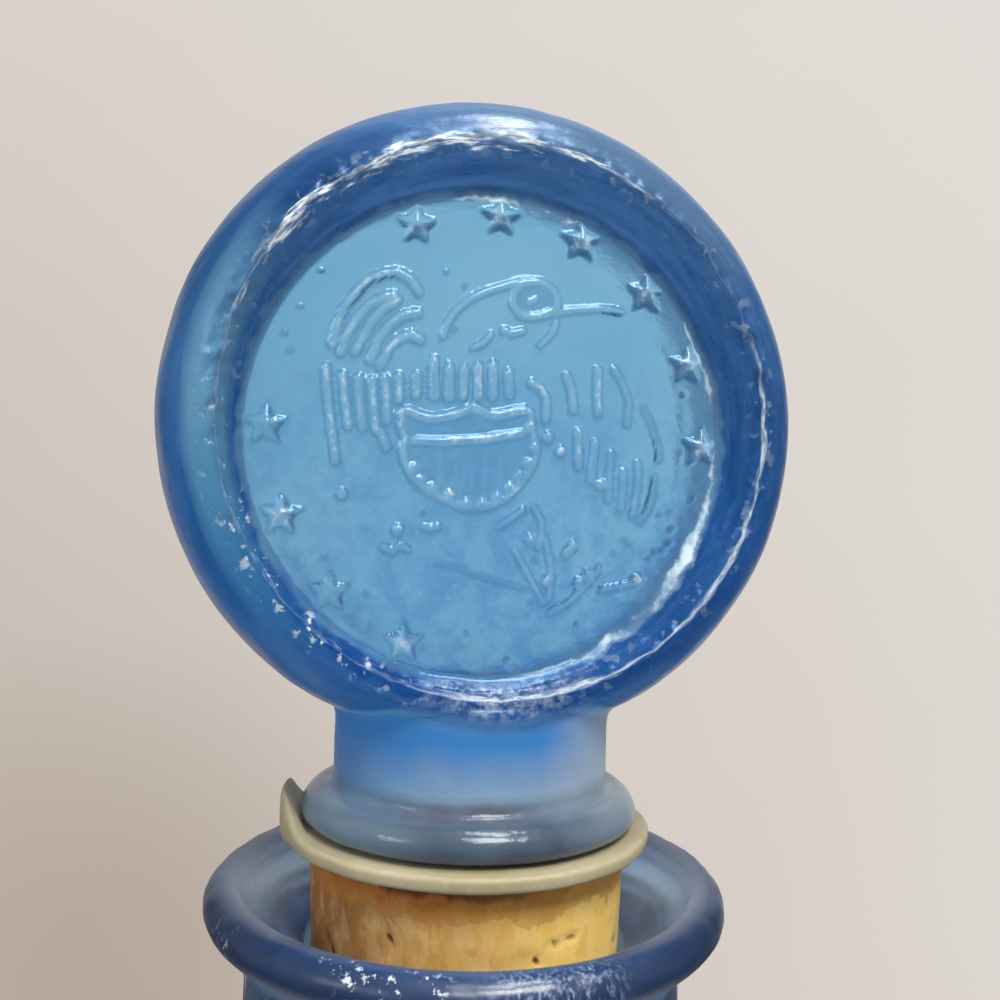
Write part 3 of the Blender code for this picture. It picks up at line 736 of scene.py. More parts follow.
def decanter_turns():
    """Even turns with more of them at the two mould seams."""
    extra = np.radians([side + turn for side in (0.0, 180.0) for turn in SEAM_TURNS])
    return np.unique(np.round(np.concatenate([even_turns(AROUND), extra]) % (2.0 * math.pi), 9))


def build_cork(material):
    """Tapered cork with a hole for the peg, small pits in its side and a worn top edge."""
    hole = PEG_RADIUS + PEG_GLUE
    floor = SEAT + FLANGE_FOOT - PEG_LENGTH - PEG_GLUE
    foot_radius = cork_radius_at(CORK_FOOT - SEAT)
    outline = [(hole, floor), (hole, SEAT), (CORK_RADIUS - CORK_WORN_EDGE, SEAT)]
    outline += [(CORK_RADIUS, SEAT - CORK_WORN_EDGE), (foot_radius, CORK_FOOT + CORK_BEVEL)]
    outline.append((foot_radius - CORK_BEVEL, CORK_FOOT))
    dense = [(0.0, floor)] + spaced(outline, CORK_STEP) + [(0.0, CORK_FOOT)]
    made = turned("cork_body", dense, even_turns(CORK_AROUND), shape=pitted, material=material)
    places = np.array([corner.co[:] for corner in made.data.vertices]) / MM
    add_values(made, "pits", pit_depths(places))
    return made


def pit_depths(points):
    """How deep the cork's pits are at (n, 3) points near its side."""
    turn = np.degrees(np.arctan2(points[:, 0], -points[:, 1]))
    total = np.zeros(len(points))
    for place, drop, wide, tall, slant, depth in CORK_PITS:
        above = points[:, 2] - SEAT + drop
        across = ((turn - place + 180.0) % 360.0 - 180.0) * math.radians(CORK_RADIUS) + slant * above
        away = (across / wide) ** 2 + (above / tall) ** 2
        total += depth * np.exp(-(away**1.5)) * (PIT_SHARE + lumps(points, PIT_LUMPS))
    return total


def pitted(points):
    radius = np.hypot(points[:, 0], points[:, 1])
    side = radius > cork_radius_at(points[:, 2] - SEAT) - CORK_SIDE
    push = lumps(points, CORK_LUMPS) - CORK_SHRINK - pit_depths(points)
    return pushed(points, radius, np.where(side, push, 0.0))


def build_washer(material):
    """Thin plastic disc, a little ragged at its rim."""
    low, high = SEAT, SEAT + WASHER_THICKNESS
    hole, edge = PEG_RADIUS + WASHER_HOLE_GAP, WASHER_RADIUS - WASHER_ROUND
    outline = [(hole, low), (hole, high)]
    outline += arc((edge, high - WASHER_ROUND), WASHER_ROUND, math.pi / 2.0, 0.0, 5)
    outline += arc((edge, low + WASHER_ROUND), WASHER_ROUND, 0.0, -math.pi / 2.0, 5)
    outline = spaced(outline, WASHER_STEP)
    turns = even_turns(WASHER_AROUND)
    return turned("washer_disc", outline, turns, closed=True, shape=ragged_rim, material=material)


def ragged_rim(points):
    """The washer with a ragged rim and, at the left, a torn flap that stands up beside the flange."""
    radius = np.hypot(points[:, 0], points[:, 1])
    turn = np.arctan2(points[:, 1], points[:, 0])
    ring = np.column_stack([RAGGED_RADIUS * np.cos(turn), RAGGED_RADIUS * np.sin(turn), np.zeros(len(turn))])
    push = lumps(ring, WASHER_LUMPS) - WASHER_SHRINK
    push = push * np.clip((radius - RAGGED_START) / RAGGED_RUN, 0.0, 1.0)
    bent = np.exp(-((((turn - FLAP_TURN) % math.tau - math.pi) / FLAP_SPREAD) ** 4))
    torn = 1.0 + lumps(ring, FLAP_LUMPS)
    upper = np.clip((points[:, 2] - SEAT) / WASHER_THICKNESS, 0.0, 1.0)
    lifted = np.clip((radius - FLANGE_RADIUS - LIFT_START) / LIFT_RUN, 0.0, 1.0)
    leaning = np.clip((radius - FLANGE_RADIUS - LEAN_START) / LEAN_RUN, 0.0, 1.0)
    push += FLAP_LEAN * bent * torn * leaning
    out = pushed(points, radius, push)
    out[:, 2] += FLAP_HEIGHT * bent * torn * upper * lifted
    return out


def arithmetic(operation):
    """Method that works out one operation on a value, and a second value or number where it takes one."""
    return lambda first, second=0.0: first.nodes.maths(operation, first, second)


class Value:
    """A number that nodes work out at each point, with the usual arithmetic."""

    def __init__(self, nodes, socket):
        self.nodes, self.socket = nodes, socket

    __add__ = arithmetic("ADD")
    __sub__ = arithmetic("SUBTRACT")
    __mul__ = arithmetic("MULTIPLY")
    __truediv__ = arithmetic("DIVIDE")
    __abs__ = arithmetic("ABSOLUTE")

    def __rsub__(self, other):
        return self.nodes.maths("SUBTRACT", other, self)

    def ramp(self, low, high, to_low=0.0, to_high=1.0):
        """Straight ramp from one value where this is low to another where it is high, level beyond them."""
        inputs = {"Value": self, "From Min": low, "From Max": high, "To Min": to_low, "To Max": to_high}
        return Value(self.nodes, self.nodes.node("ShaderNodeMapRange", inputs, clamp=True).outputs[0])


def most(*values):
    """The greatest of some values."""
    return reduce(lambda first, second: first.nodes.maths("MAXIMUM", first, second), values)


class Nodes:
    """Short way to add and link the nodes of one material or world, with places in its own unit."""

    def __init__(self, owner, coordinates="Object", unit=MM):
        owner.use_nodes = True
        self.owner, self.tree, self.unit = owner, owner.node_tree, unit
        self.shader = self.tree.nodes.get("Principled BSDF")
        self.output = next(node for node in self.tree.nodes if "Output" in node.bl_idname)
        self.place = self.node("ShaderNodeTexCoord").outputs[coordinates]

    def put(self, target, value):
        if isinstance(value, Value):
            value = value.socket
        if isinstance(value, bpy.types.NodeSocket):
            self.tree.links.new(value, target)
        elif isinstance(value, tuple) and len(value) == 3 and target.type == "RGBA":
            target.default_value = (*value, 1.0)
        else:
            target.default_value = value

    def node(self, kind, inputs=None, **settings):
        made = self.tree.nodes.new(kind)
        for key, value in settings.items():
            setattr(made, key, value)
        for key, value in (inputs or {}).items():
            self.put(made.inputs[key], value)
        return made

    def surface(self, inputs):
        for key, value in inputs.items():
            self.put(self.shader.inputs[key], value)

    def maths(self, operation, first, second=0.0):
        made = self.node("ShaderNodeMath", {0: first, 1: second}, operation=operation)
        return Value(self, made.outputs[0])

    def vector(self, operation, first, second, output="Vector"):
        made = self.node("ShaderNodeVectorMath", {0: first, 1: second}, operation=operation)
        return made.outputs[output]

    def axis(self, name):
        parts = self.node("ShaderNodeSeparateXYZ", {0: self.place}).outputs
        return Value(self, parts[name]) * (1.0 / self.unit)

    def distance(self, middle=(0.0, 0.0, 0.0), counted=(1.0, 1.0, 1.0)):
        """Distance from a middle, with only the counted axes taken into account."""
        moved = self.vector("SUBTRACT", self.place, tuple(value * self.unit for value in middle))
        flat = self.vector("MULTIPLY", moved, counted)
        return Value(self, self.vector("LENGTH", flat, (0.0, 0.0, 0.0), "Value")) * (1.0 / self.unit)

    def mapped(self, **inputs):
        return self.node("ShaderNodeMapping", {"Vector": self.place, **inputs}).outputs[0]

    def noise(self, scale, detail=4.0, place=None, roughness=0.55):
        inputs = {"Vector": place or self.place, "Scale": scale, "Detail": detail, "Roughness": roughness}
        return Value(self, self.node("ShaderNodeTexNoise", inputs).outputs["Fac"])

    def cells(self, scale, tall):
        """Outputs of a cell pattern; its cells are stretched upward where tall is under 1."""
        inputs = {"Vector": self.mapped(Scale=(1.0, 1.0, tall)), "Scale": scale}
        return self.node("ShaderNodeTexVoronoi", inputs).outputs

    def attribute(self, name):
        return Value(self, self.node("ShaderNodeAttribute", attribute_name=name).outputs["Fac"])

    def mixed(self, share, first, second):
        return self.node("ShaderNodeMix", {0: share, 6: first, 7: second}, data_type="RGBA").outputs[2]

    def layered(self, colour, *layers):
        """A colour under others, each given after its share."""
        for share, over in layers:
            colour = self.mixed(share, colour, over)
        return colour

    def bump(self, height, distance, strength, under=None):
        inputs = {"Height": height, "Distance": distance, "Strength": strength}
        if under is not None:
            inputs["Normal"] = under
        return self.node("ShaderNodeBump", inputs).outputs[0]

    def absorb(self, density, passed):
        """A colour that deepens with the glass's thickness."""
        volume = self.node("ShaderNodeVolumeAbsorption", {"Color": passed, "Density": density})
        self.put(self.output.inputs["Volume"], volume.outputs[0])

    def rays(self):
        """Two values: 1 for rays that are seen, 0 for light that falls on things; 1 for reflected rays."""
        path = self.node("ShaderNodeLightPath").outputs
        reflected = Value(self, path["Is Glossy Ray"])
        seen = most(Value(self, path["Is Camera Ray"]), Value(self, path["Is Transmission Ray"]), reflected)
        return seen, reflected

    def show(self, share, first, second):
        """Sends a mix of two shaders to the output."""
        mix = self.node("ShaderNodeMixShader", {0: share, 1: first.outputs[0], 2: second.outputs[0]})
        self.put(self.output.inputs["Surface"], mix.outputs[0])


class StopperNodes(Nodes):
    """Nodes of the stopper's glass, which also tell where a point is on the head."""

    def __init__(self, owner):
        super().__init__(owner)
        self.across, self.depth, self.height = (self.axis(name) for name in "XYZ")
        self.patches, self.clouds = self.noise(150.0), self.noise(75.0, 5.0)
        self.from_field = self.from_middle(FIELD_SHIFT, -FIELD_DROP) + (self.noise(500.0) * 1.5 - 0.75)
        self.from_crest = self.from_middle(CREST_SHIFT, -CREST_DROP)
        over_middle = self.height - (HEAD_MIDDLE - CREST_DROP)
        self.turn = self.maths("ARCTAN2", self.across - CREST_SHIFT, over_middle)
        round_rim = {0: self.turn, 1: self.from_crest * 0.3}
        self.round_rim = self.node("ShaderNodeCombineXYZ", round_rim).outputs[0]
        self.front = self.depth.ramp(-6.0, -8.0)
        self.land = self.from_field.ramp(FIELD_RADIUS - 1.0, FIELD_RADIUS - 0.4) * self.front
        self.side = self.from_crest.ramp(CREST_RADIUS - 0.6, CREST_RADIUS + 0.8)
        raised = self.attribute("raised") * self.from_field.ramp(FIELD_RADIUS + 0.5, FIELD_RADIUS)
        self.raised = raised * self.depth.ramp(-8.4, -8.6)

    def from_middle(self, right=0.0, up=0.0):
        """Distance from the head's axis, moved this far right and up."""
        return self.distance((right, 0.0, HEAD_MIDDLE + up), (1.0, 0.0, 1.0))

    def towards(self, degrees, low, high):
        """1 on the rim's stretch at these degrees clockwise from the top, fading to 0 away from it."""
        return self.maths("COSINE", self.turn - math.radians(degrees)).ramp(low, high)

    def streaks(self, scale, detail, roughness=0.55):
        """Noise drawn out round the rim."""
        return self.noise(scale, detail, self.round_rim, roughness)


def crest_wear_and_glints(made):
    """White along the crest, partly wear and partly painted glints: chipped at the upper left, a line at the
    lower right, specks between, frost below and a highlight at the top.
    """
    off_crest = abs(made.from_crest - CREST_RADIUS + (made.streaks(9.0, 3.0) - 0.5))
    # chipped wear, with painted glints where light would catch the upper left of the crest
    chips_and_glints = made.towards(-20.0, 0.60, 0.90) * made.streaks(6.0, 3.0).ramp(0.36, 0.62, 0.06, 0.75)
    # painted highlight: a thin line of light along the lower right of the crest
    line = made.towards(135.0, 0.35, 0.6)
    worn = (line * 0.13 + chips_and_glints - off_crest).ramp(-0.08, 0.16)
    worn = worn * most(made.streaks(13.0, 4.0, 0.65).ramp(0.38, 0.56), line * 0.9)
    specks = made.noise(1100.0).ramp(0.585, 0.64) * off_crest.ramp(1.6, 0.2)
    specks = specks * (made.towards(-125.0, 0.7, 0.97) * 0.7 + 0.3)
    # frost below the crest, partly painted glints
    frost_and_glints = made.towards(178.0, 0.94, 0.995) * off_crest.ramp(1.7, 0.3, 0.0, 0.7)
    frost_and_glints = frost_and_glints * made.noise(1500.0, 5.0, None, 0.75).ramp(0.44, 0.62)
    # painted highlight at the top of the crest
    glint = made.towards(-1.5, 0.993, 0.999) * abs(made.from_crest - (CREST_RADIUS + 0.9)).ramp(1.3, 0.4)
    glint = glint * made.streaks(10.0, 5.0, 0.7).ramp(0.34, 0.54, 0.0, 0.8)
    return most(worn, glint, specks, frost_and_glints) * made.depth.ramp(-8.6, -9.3)


def relief_wear_and_highlights(made):
    """White on the highest parts of the relief, partly wear and partly painted highlights, more in some
    places than in others.
    """
    rubbed_and_highlit = made.raised.ramp(0.22, 0.38) * made.noise(1500.0, 3.0).ramp(0.35, 0.6, 0.10, 0.42)
    return rubbed_and_highlit * made.noise(340.0, 3.0).ramp(0.42, 0.58, 0.3, 1.25)


def field_edge_highlight(made):
    """Painted highlight: a pale ribbon where the field meets the rim, broad at the lower right and thin at
    the top.
    """
    width = most(
        made.towards(134.0, 0.72, 0.97) * made.patches.ramp(0.35, 0.6, 0.18, 0.5),
        made.towards(4.0, 0.93, 0.99) * 0.27,
        made.towards(62.0, 0.88, 0.98) * made.patches.ramp(0.45, 0.6, 0.0, 0.16),
    )
    edge = (width - abs(made.from_field - (FIELD_RADIUS - 1.0))).ramp(-0.16, 0.2)
    return edge * made.noise(420.0).ramp(0.35, 0.6, 0.25, 0.95) * width.ramp(0.0, 0.1) * made.front


def field_colour(made):
    """Clear blue, smudged and deeper lower down, with painted shade round the foot of the relief."""
    lower = made.height.ramp(HEAD_MIDDLE + 8.0, HEAD_MIDDLE - 12.0, 0.1, 0.75)
    smudges = made.noise(300.0, 8.0, None, 0.80).ramp(0.45, 0.57)
    relief_foot_shade = made.raised.ramp(0.01, 0.05) * made.raised.ramp(0.26, 0.14)
    return made.layered(
        made.mixed(made.clouds.ramp(0.35, 0.65), (0.30, 0.66, 0.95), (0.45, 0.82, 1.0)),
        (smudges * lower, (0.12, 0.38, 0.78)),
        (lower * 0.45, (0.24, 0.57, 0.96)),
        (relief_foot_shade * 0.5, (0.11, 0.33, 0.62)),
    )


def stem_colour(made, join, flange):
    """Soft blue, paler downward and to the right, with a grey flange and painted shade in the crease where
    the stem meets it.
    """
    across, height, patches = made.across, made.height, made.patches
    low = (patches * 3.0 + height).ramp(join + 3.1, join - 1.5, 0.0, 0.92)
    low = low * across.ramp(-10.0, -4.0, 0.4, 1.0)
    left_end = (made.clouds * 6.0 + across).ramp(-1.0, -8.0)
    # painted shade: a dark band in the crease where the stem meets the flange
    crease_shade = abs(patches * 1.2 + (height - (SEAT + 4.9))).ramp(0.8, 0.1, 0.0, 0.7)
    grey = made.layered(
        made.mixed(patches.ramp(0.35, 0.65), (0.055, 0.078, 0.105), (0.102, 0.137, 0.175)),
        (left_end * 0.62, (0.26, 0.38, 0.47)),
        (across.ramp(4.0, 11.5, 0.0, 0.75), (0.36, 0.46, 0.56)),
    )
    return made.layered(
        (0.055, 0.26, 0.66),
        (low, (0.44, 0.59, 0.71)),
        ((patches * 6.0 + across).ramp(6.0, 13.5, 0.0, 0.9), (0.60, 0.69, 0.76)),
        (flange, grey),
        (crease_shade * abs(across + 1.5).ramp(6.5, 2.5), (0.10, 0.075, 0.11)),
    )


def rim_colour(made):
    """Brushed blue, with painted light and shade: a pale sheen at the top, darker low down and at the upper
    left, a teal band of light at the left.
    """
    brush = made.streaks(3.6, 8.0, 0.75)
    # painted light: the front of the rim paler at the top
    top = made.towards(2.0, -0.1, 0.85) * brush.ramp(0.30, 0.60, 0.25, 0.85) * made.land
    bottom_shade = made.towards(-158.0, 0.2, 0.8) * brush.ramp(0.35, 0.65, 0.9, 0.4)
    top_sheen = made.depth.ramp(-7.0, -9.6) * made.side * made.towards(20.0, 0.72, 0.93)
    upper_left_shade = made.towards(-53.0, 0.85, 0.97) * made.side
    # painted light: a teal band standing for light seen through the glass at the left
    teal = most(made.side, made.from_crest.ramp(CREST_RADIUS - 1.3, CREST_RADIUS - 0.5))
    teal = teal * made.depth.ramp(-8.9, -9.75) * made.clouds.ramp(0.3, 0.55, 0.45, 0.95)
    teal_tone = made.mixed(made.towards(-135.0, 0.75, 0.98), (0.16, 0.38, 0.55), (0.045, 0.22, 0.47))
    return made.layered(
        made.mixed(brush.ramp(0.36, 0.64), (0.006, 0.074, 0.28), (0.040, 0.165, 0.45)),
        (top, (0.095, 0.25, 0.55)),
        (bottom_shade * 0.8, (0.002, 0.070, 0.33)),
        (top_sheen * 0.48, (0.20, 0.33, 0.43)),
        (upper_left_shade * 0.82, (0.002, 0.052, 0.21)),
        (teal * made.towards(-95.0, 0.68, 0.93), teal_tone),
    )


def stopper_material():
    """Pressed blue glass: clear in the field, satin and deeper in the rim, white along the crest, partly wear
    and partly painted glints.
    """
    made = StopperNodes(bpy.data.materials.new("stopper_glass"))
    join = HEAD_MIDDLE - HEAD_RADIUS
    stem = made.distance(counted=(1.0, 1.0, 0.0)).ramp(STEM_RADIUS + 1.3, STEM_RADIUS + 0.5)
    stem = stem * made.height.ramp(join + 6.0, join + 5.0)
    stem = stem * made.from_middle().ramp(STEM_SHOWS - 0.7, STEM_SHOWS + 0.7)
    body = most(stem, made.height.ramp(join + 0.4, join - 0.4))
    rim = most(made.land, made.side) * (1.0 - body)
    flange = (made.patches + made.height).ramp(SEAT + 6.1, SEAT + 4.2)
    # painted highlight along the edge of the field
    edge = field_edge_highlight(made)
    # white wear, partly painted glints and highlights, on the crest and the relief
    worn = most(crest_wear_and_glints(made), relief_wear_and_highlights(made))
    waves = made.bump(made.noise(260.0, 2.0), 0.0002, 0.8)
    waves = made.bump(made.noise(800.0, 3.0, made.mapped(Scale=(0.6, 1.0, 1.4))), 0.00006, 0.8, waves)
    waves = made.bump(made.noise(2600.0, 2.0), 0.00003, 0.6, waves)
    made.surface({
        "Base Color": made.layered(
            field_colour(made),
            (body, stem_colour(made, join, flange)),
            (rim, rim_colour(made)),
            # painted highlight: the pale ribbon at the field's edge
            (edge, (0.80, 0.95, 1.0)),
            # white wear with painted glints and highlights
            (worn, (0.84, 0.92, 0.97)),
        ),
        "Transmission Weight": 1.0 - most(rim * 0.26 + 0.17, edge * 0.8, body * 0.62, worn * 0.8),
        "Roughness": most(made.patches.ramp(0.35, 0.7, 0.06, 0.15), rim * 0.27, body * 0.5),
        "IOR": GLASS_IOR,
        "Specular IOR Level": 0.15,
        "Specular Tint": (0.35, 0.62, 1.0),
        "Normal": waves,
        "Coat Weight": most(flange * 0.7, worn * 0.45),
        "Coat Roughness": 0.16,
        "Coat Normal": waves,
    })
    made.absorb(28.0, (0.10, 0.68, 0.99))
    return made.owner


def bottle_material():
    """Moulded blue glass: satin, with painted light in the dish; darker in the rolled rim, with a painted
    reflection at its left, white chipped specks that are partly painted glints, and streaks of painted
    highlight at its right front.
    """
    made = Nodes(bpy.data.materials.new("bottle_glass"))
    patches = made.noise(110.0)
    mottle = patches.ramp(0.35, 0.7)
    height = made.axis("Z")
    out = made.distance(counted=(1.0, 1.0, 0.0))
    dish = (height - out).ramp(LIP_HEIGHT - 19.0, LIP_HEIGHT - 17.5)
    rim = height.ramp(LIP_HEIGHT - 5.0, LIP_HEIGHT - 1.0) * out.ramp(17.6, 19.2)

    def facing(degrees, low, high):
        """1 where the glass faces these degrees to the right of the front, fading to 0 away from there."""
        aim = (math.sin(math.radians(degrees)) / MM, -math.cos(math.radians(degrees)) / MM, 0.0)
        along = Value(made, made.vector("DOT_PRODUCT", made.place, aim, "Value"))
        return (along / most(out, 1.0)).ramp(low, high)

    clusters = (made.noise(170.0) + facing(-19.0, 0.93, 0.985) * 0.24).ramp(0.60, 0.68)
    # white chipped specks on the rim, partly painted glints placed at the front left
    chips_and_glints = made.noise(1500.0, 5.0, None, 0.7).ramp(0.55, 0.60) * clusters * (rim * 0.9 + 0.1)
    right_front = facing(6.0, 0.955, 0.992) * rim
    slanted = made.mapped(Rotation=(0.0, math.radians(-35.0), 0.0), Scale=(1.0, 1.0, 0.25))
    # painted highlight: light streaks on the rim's right front
    scuff_highlights = made.noise(3400.0, 3.0, slanted, 0.6).ramp(0.45, 0.62) * right_front
    waves = made.bump(made.noise(90.0, 1.0), 0.0002, 0.5)
    made.surface({
        "Base Color": made.layered(
            made.mixed(mottle, (0.32, 0.60, 0.92), (0.44, 0.70, 0.96)),
            # painted light: the dish paler, standing for light through the lip's back wall
            (dish, made.mixed(mottle, (0.50, 0.63, 0.79), (0.64, 0.76, 0.89))),
            (rim, made.mixed(mottle, (0.034, 0.095, 0.26), (0.070, 0.165, 0.40))),
            (scuff_highlights * 0.45, (0.45, 0.57, 0.76)),
            # painted reflection: a greyish pale patch on the rim's left side
            (rim * facing(-95.0, 0.70, 0.99) * 0.45, (0.19, 0.25, 0.33)),
            (chips_and_glints, (0.80, 0.86, 0.92)),
        ),
        "Transmission Weight": 1.0 - most(rim * 0.12 + (dish * 0.08 + 0.05), most(chips_and_glints, scuff_highlights) * 0.7),
        "Roughness": patches.ramp(0.3, 0.7, 0.07, 0.13) + (rim * 0.08 + most(dish, rim) * 0.17),
        "IOR": GLASS_IOR,
        "Specular IOR Level": 0.25,
        "Normal": made.bump(made.noise(2200.0, 2.0), 0.00002, 0.5, waves),
        "Coat Weight": right_front * 0.3,
        "Coat Roughness": 0.14,
    })
    made.absorb(60.0, (0.05, 0.55, 0.92))
    return made.owner


def cork_material():
    """Natural cork: flecked tan, with painted light from the right that leaves it browner to the left,
    stained dark under the washer, with deep brown pits.
    """
    made = Nodes(bpy.data.materials.new("natural_cork"))
    across = made.axis("X")
    grain = made.noise(650.0, 5.0, made.mapped(Scale=(1.0, 1.0, 0.7)), 0.6)
    # random warmth, with painted light: lighter to the right, browner and darker to the left
    warmth_and_side_light = made.noise(140.0) * 0.7 + (across.ramp(-12.5, 9.5) * 1.1 - 0.45)
    plates = made.node("ShaderNodeSeparateColor", {0: made.cells(900.0, 0.5)["Color"]}).outputs[0]
    plates = Value(made, plates)
    flecks = Value(made, made.cells(420.0, 0.6)["Distance"])
    top = made.axis("Z").ramp(SEAT - 3.6, SEAT)
    tide = made.noise(260.0, 6.0, made.mapped(Scale=(1.0, 1.0, 0.6)), 0.65) * 1.5 + top
    edge = made.noise(330.0, 4.0, made.mapped(Scale=(1.0, 1.0, 0.4))) + top
    left = across.ramp(-3.0, 6.0, 1.0, 0.15)
    made.surface({
        "Base Color": made.layered(
            made.mixed(warmth_and_side_light.ramp(0.1, 0.75), (0.42, 0.165, 0.040), (0.98, 0.63, 0.15)),
            (grain.ramp(0.5, 0.68, 0.0, 0.3), (0.98, 0.72, 0.27)),
            (grain.ramp(0.42, 0.28, 0.0, 0.35), (0.52, 0.22, 0.05)),
            (plates.ramp(0.5, 0.95, 0.0, 0.17), (1.0, 0.80, 0.42)),
            (plates.ramp(0.4, 0.0, 0.0, 0.16), (0.48, 0.19, 0.04)),
            (flecks.ramp(0.05, 0.13, 0.45, 0.0), (0.25, 0.085, 0.02)),
            (tide.ramp(0.98, 1.06, 0.0, 0.55), (0.60, 0.20, 0.012)),
            (tide.ramp(1.20, 1.36, 0.0, 0.6) * left, (0.42, 0.125, 0.014)),
            (abs(tide - 1.0).ramp(0.035, 0.0, 0.0, 0.4), (0.36, 0.13, 0.025)),
            (edge.ramp(1.22, 1.34, 0.0, 0.75) * left, (0.10, 0.028, 0.010)),
            (made.attribute("pits").ramp(0.05, 0.25, 0.0, 0.9), (0.07, 0.022, 0.008)),
        ),
        "Roughness": grain.ramp(0.3, 0.7, 0.6, 0.92),
        "Normal": made.bump(flecks, 0.0002, 0.4, made.bump(grain, 0.0003, 0.6)),
    })
    return made.owner


def washer_material():
    """Yellowed translucent plastic with faint smudges."""
    made = Nodes(bpy.data.materials.new("washer_plastic"))
    smudges, fine = made.noise(170.0, 5.0), made.noise(1400.0, 3.0)
    made.surface({
        "Base Color": made.layered(
            made.mixed(smudges.ramp(0.35, 0.7), (0.43, 0.375, 0.25), (0.34, 0.29, 0.165)),
            (fine.ramp(0.55, 0.8, 0.0, 0.5), (0.52, 0.49, 0.37)),
        ),
        "Roughness": smudges.ramp(0.3, 0.7, 0.35, 0.6),
        "IOR": 1.48,
        "Normal": made.bump(fine, 0.00006, 0.5),
        "Subsurface Weight": 0.35,
        "Subsurface Radius": (1.0, 0.9, 0.6),
        "Subsurface Scale": 0.0012,
    })
    return made.owner


def floor_material():
    """Plain matt pale floor with a very faint mottle; it takes the shadows."""
    made = Nodes(bpy.data.materials.new("floor_paint"))
    seen, reflected = made.rays()
    away = made.distance()
    darker = tuple(value * FLOOR_DARKER for value in FLOOR_COLOUR)
    # painted dark reflection: far off, the floor shows dark in reflections
    dark_in_reflections = (reflected * away.ramp(120.0, 300.0), DARK_REFLECTION)
    made.surface({
        "Base Color": made.layered(darker, (made.noise(9.0, 3.0), FLOOR_COLOUR), dark_in_reflections),
        "Roughness": 0.9,
        "Specular IOR Level": 0.2,
    })
    room = made.node("ShaderNodeEmission", {"Color": ROOM_SEEN})
    made.show(away.ramp(250.0, 1100.0) * seen * (1.0 - reflected), made.shader, room)
    return made.owner


def wall_material():
    """Warm pale wall, brighter to the upper right; it lets the light that falls on things through."""
    made = Nodes(bpy.data.materials.new("wall_paint"))
    seen, reflected = made.rays()
    across, up = made.axis("X"), made.axis("Z")
    right, down = across.ramp(-WALL_HALF_VIEW, WALL_HALF_VIEW), up.ramp(2.0 * WALL_HALF_VIEW, 0.0)
    tone = 1.0 - (1.0 - right) * (down * 0.6 + 0.2) - right * down * 0.14
    tone = tone + (made.noise(5.0, 2.0) * 0.12 - 0.06)
    beside = abs(across).ramp(WALL_HALF_VIEW, 2.0 * WALL_HALF_VIEW)
    above = up.ramp(2.0 * WALL_HALF_VIEW, 3.0 * WALL_HALF_VIEW)
    colour = made.layered(
        WALL_DARK,
        (tone, WALL_PALE),
        (made.distance(WALL_SHADE_PLACE).ramp(160.0, 30.0, 0.0, 0.45), WALL_SHADE),
        (most(beside, above), ROOM_SEEN),
        # painted dark reflection beside the view
        (beside * reflected, DARK_REFLECTION),
    )
    glow = made.node("ShaderNodeEmission", {"Color": colour})
    made.show(seen, made.node("ShaderNodeBsdfTransparent"), glow)
    made.tree.nodes.remove(made.shader)
    return made.owner


def add_world():
    """Room of pale walls, dimmer behind the camera; an even light for the rest."""
    world = bpy.data.worlds.new("studio")
    bpy.context.scene.world = world
    made = Nodes(world, "Generated", 1.0)
    seen, reflected = made.rays()
    behind, over = made.axis("Y").ramp(-0.6, 0.5), made.axis("Z").ramp(-0.3, 0.9)
    room = made.layered(ROOM_FRONT, (behind, ROOM_BACK), (over, ROOM_TOP))
    pale = made.node("ShaderNodeBackground", {"Color": made.mixed(reflected, ROOM_SEEN, room)})
    even = made.node("ShaderNodeBackground", {"Color": EVEN_LIGHT, "Strength": EVEN_STRENGTH})
    made.show(seen, even, pale)


def add_panel(name, first, second, start, material):
    """Flat panel from a starting corner along two sides."""
    corners = [start, start + first, start + first + second, start + second]
    made = mesh_object(name, corners, [(0, 1, 2, 3)], material)
    return made


def add_lamp(name, place, size, watts, colour):
    """Area lamp that is turned to the middle of the head."""
    data = bpy.data.lights.new(name, "AREA")
    data.shape = "RECTANGLE"
    data.size, data.size_y = (side * MM for side in size)
    data.energy = watts
    data.color = colour
    made = placed(name, data)
    made.location = Vector(place) * MM
    made.rotation_mode = "QUATERNION"
    made.rotation_quaternion = (Vector((0.0, 0.0, HEAD_MIDDLE)) - Vector(place)).to_track_quat("-Z", "Y")


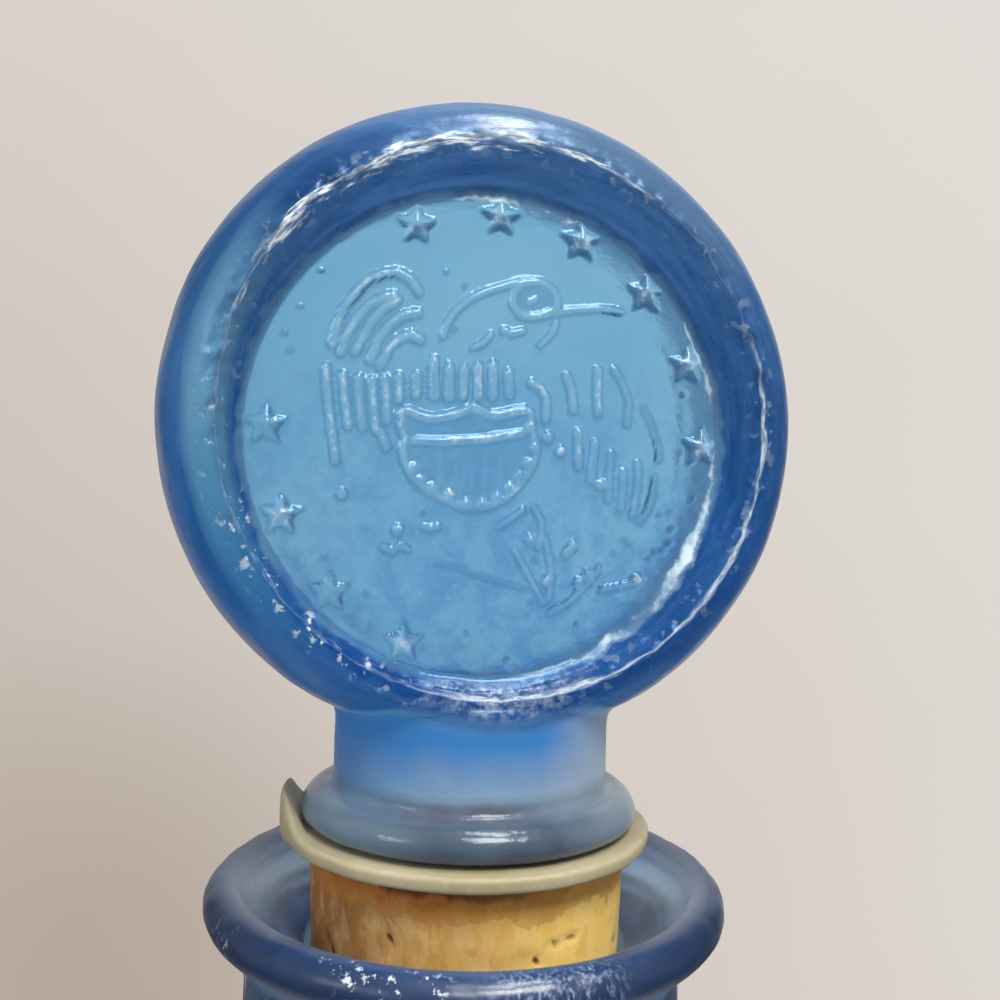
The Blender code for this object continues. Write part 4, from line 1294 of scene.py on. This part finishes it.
def add_stage():
    """Floor, wall behind and soft lamps."""
    sides = (Vector((2.0, 0.0, 0.0)), Vector((0.0, 2.0, 0.0)), Vector((0.0, 0.0, 1.0)))
    wide, deep, tall = (side * PANEL_REACH for side in sides)
    add_panel("floor", wide, deep, -(wide + deep) / 2.0, floor_material())
    wall = add_panel("wall", wide, tall, -wide / 2.0, wall_material())
    away = Vector((-math.sin(CAMERA_AZIMUTH), math.cos(CAMERA_AZIMUTH), 0.0)) * WALL_DISTANCE * MM
    wall.matrix_world = Matrix.Translation(away) @ Matrix.Rotation(CAMERA_AZIMUTH, 4, "Z")
    for lamp in LAMPS:
        add_lamp(*lamp)


def add_camera():
    across, ahead, level = math.cos(CAMERA_AZIMUTH), math.sin(CAMERA_AZIMUTH), math.cos(CAMERA_ELEVATION)
    right = Vector((across, ahead, 0.0))
    back = Vector((ahead * level, -across * level, math.sin(CAMERA_ELEVATION)))
    up = back.cross(right)
    c, s = math.cos(CAMERA_ROLL), math.sin(CAMERA_ROLL)
    data = bpy.data.cameras.new("camera")
    data.sensor_width = SENSOR
    data.lens = FOCAL_SHARE * SENSOR
    data.clip_start = 2.0 * MM
    made = placed("camera", data)
    turn = Matrix((c * right + s * up, c * up - s * right, back)).transposed()
    place = Vector(CAMERA_PLACE) + Vector((0.0, 0.0, LIP_HEIGHT))
    made.matrix_world = Matrix.Translation(place * MM) @ turn.to_4x4()
    bpy.context.scene.camera = made


def main():
    bpy.context.scene.view_settings.view_transform = "Standard"
    add_camera()
    add_world()
    add_stage()

    stopper = build_head()
    joined(stopper, turned("stem", stem_outline(), even_turns(STEM_AROUND), shape=roughened_stem))
    soften_join(stopper)
    stopper.name = "medallion_stopper"
    stopper.data.materials.clear()
    stopper.data.materials.append(stopper_material())

    glass = bottle_material()
    turns = decanter_turns()
    decanter = turned("decanter_body", decanter_outline(), turns, shape=roughened_decanter, material=glass)
    cork = build_cork(cork_material())
    washer = build_washer(washer_material())

    for piece, body, node, slot in (
        (decanter, "decanter", "decanter_glass", "bottle_glass"),
        (stopper, "stopper", "stopper_glass", "stopper_glass"),
        (cork, "stopper", "stopper_cork", "cork"),
        (washer, "washer", "stopper_washer", "washer_plastic"),
    ):
        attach(piece, body)
        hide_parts(node)


main()
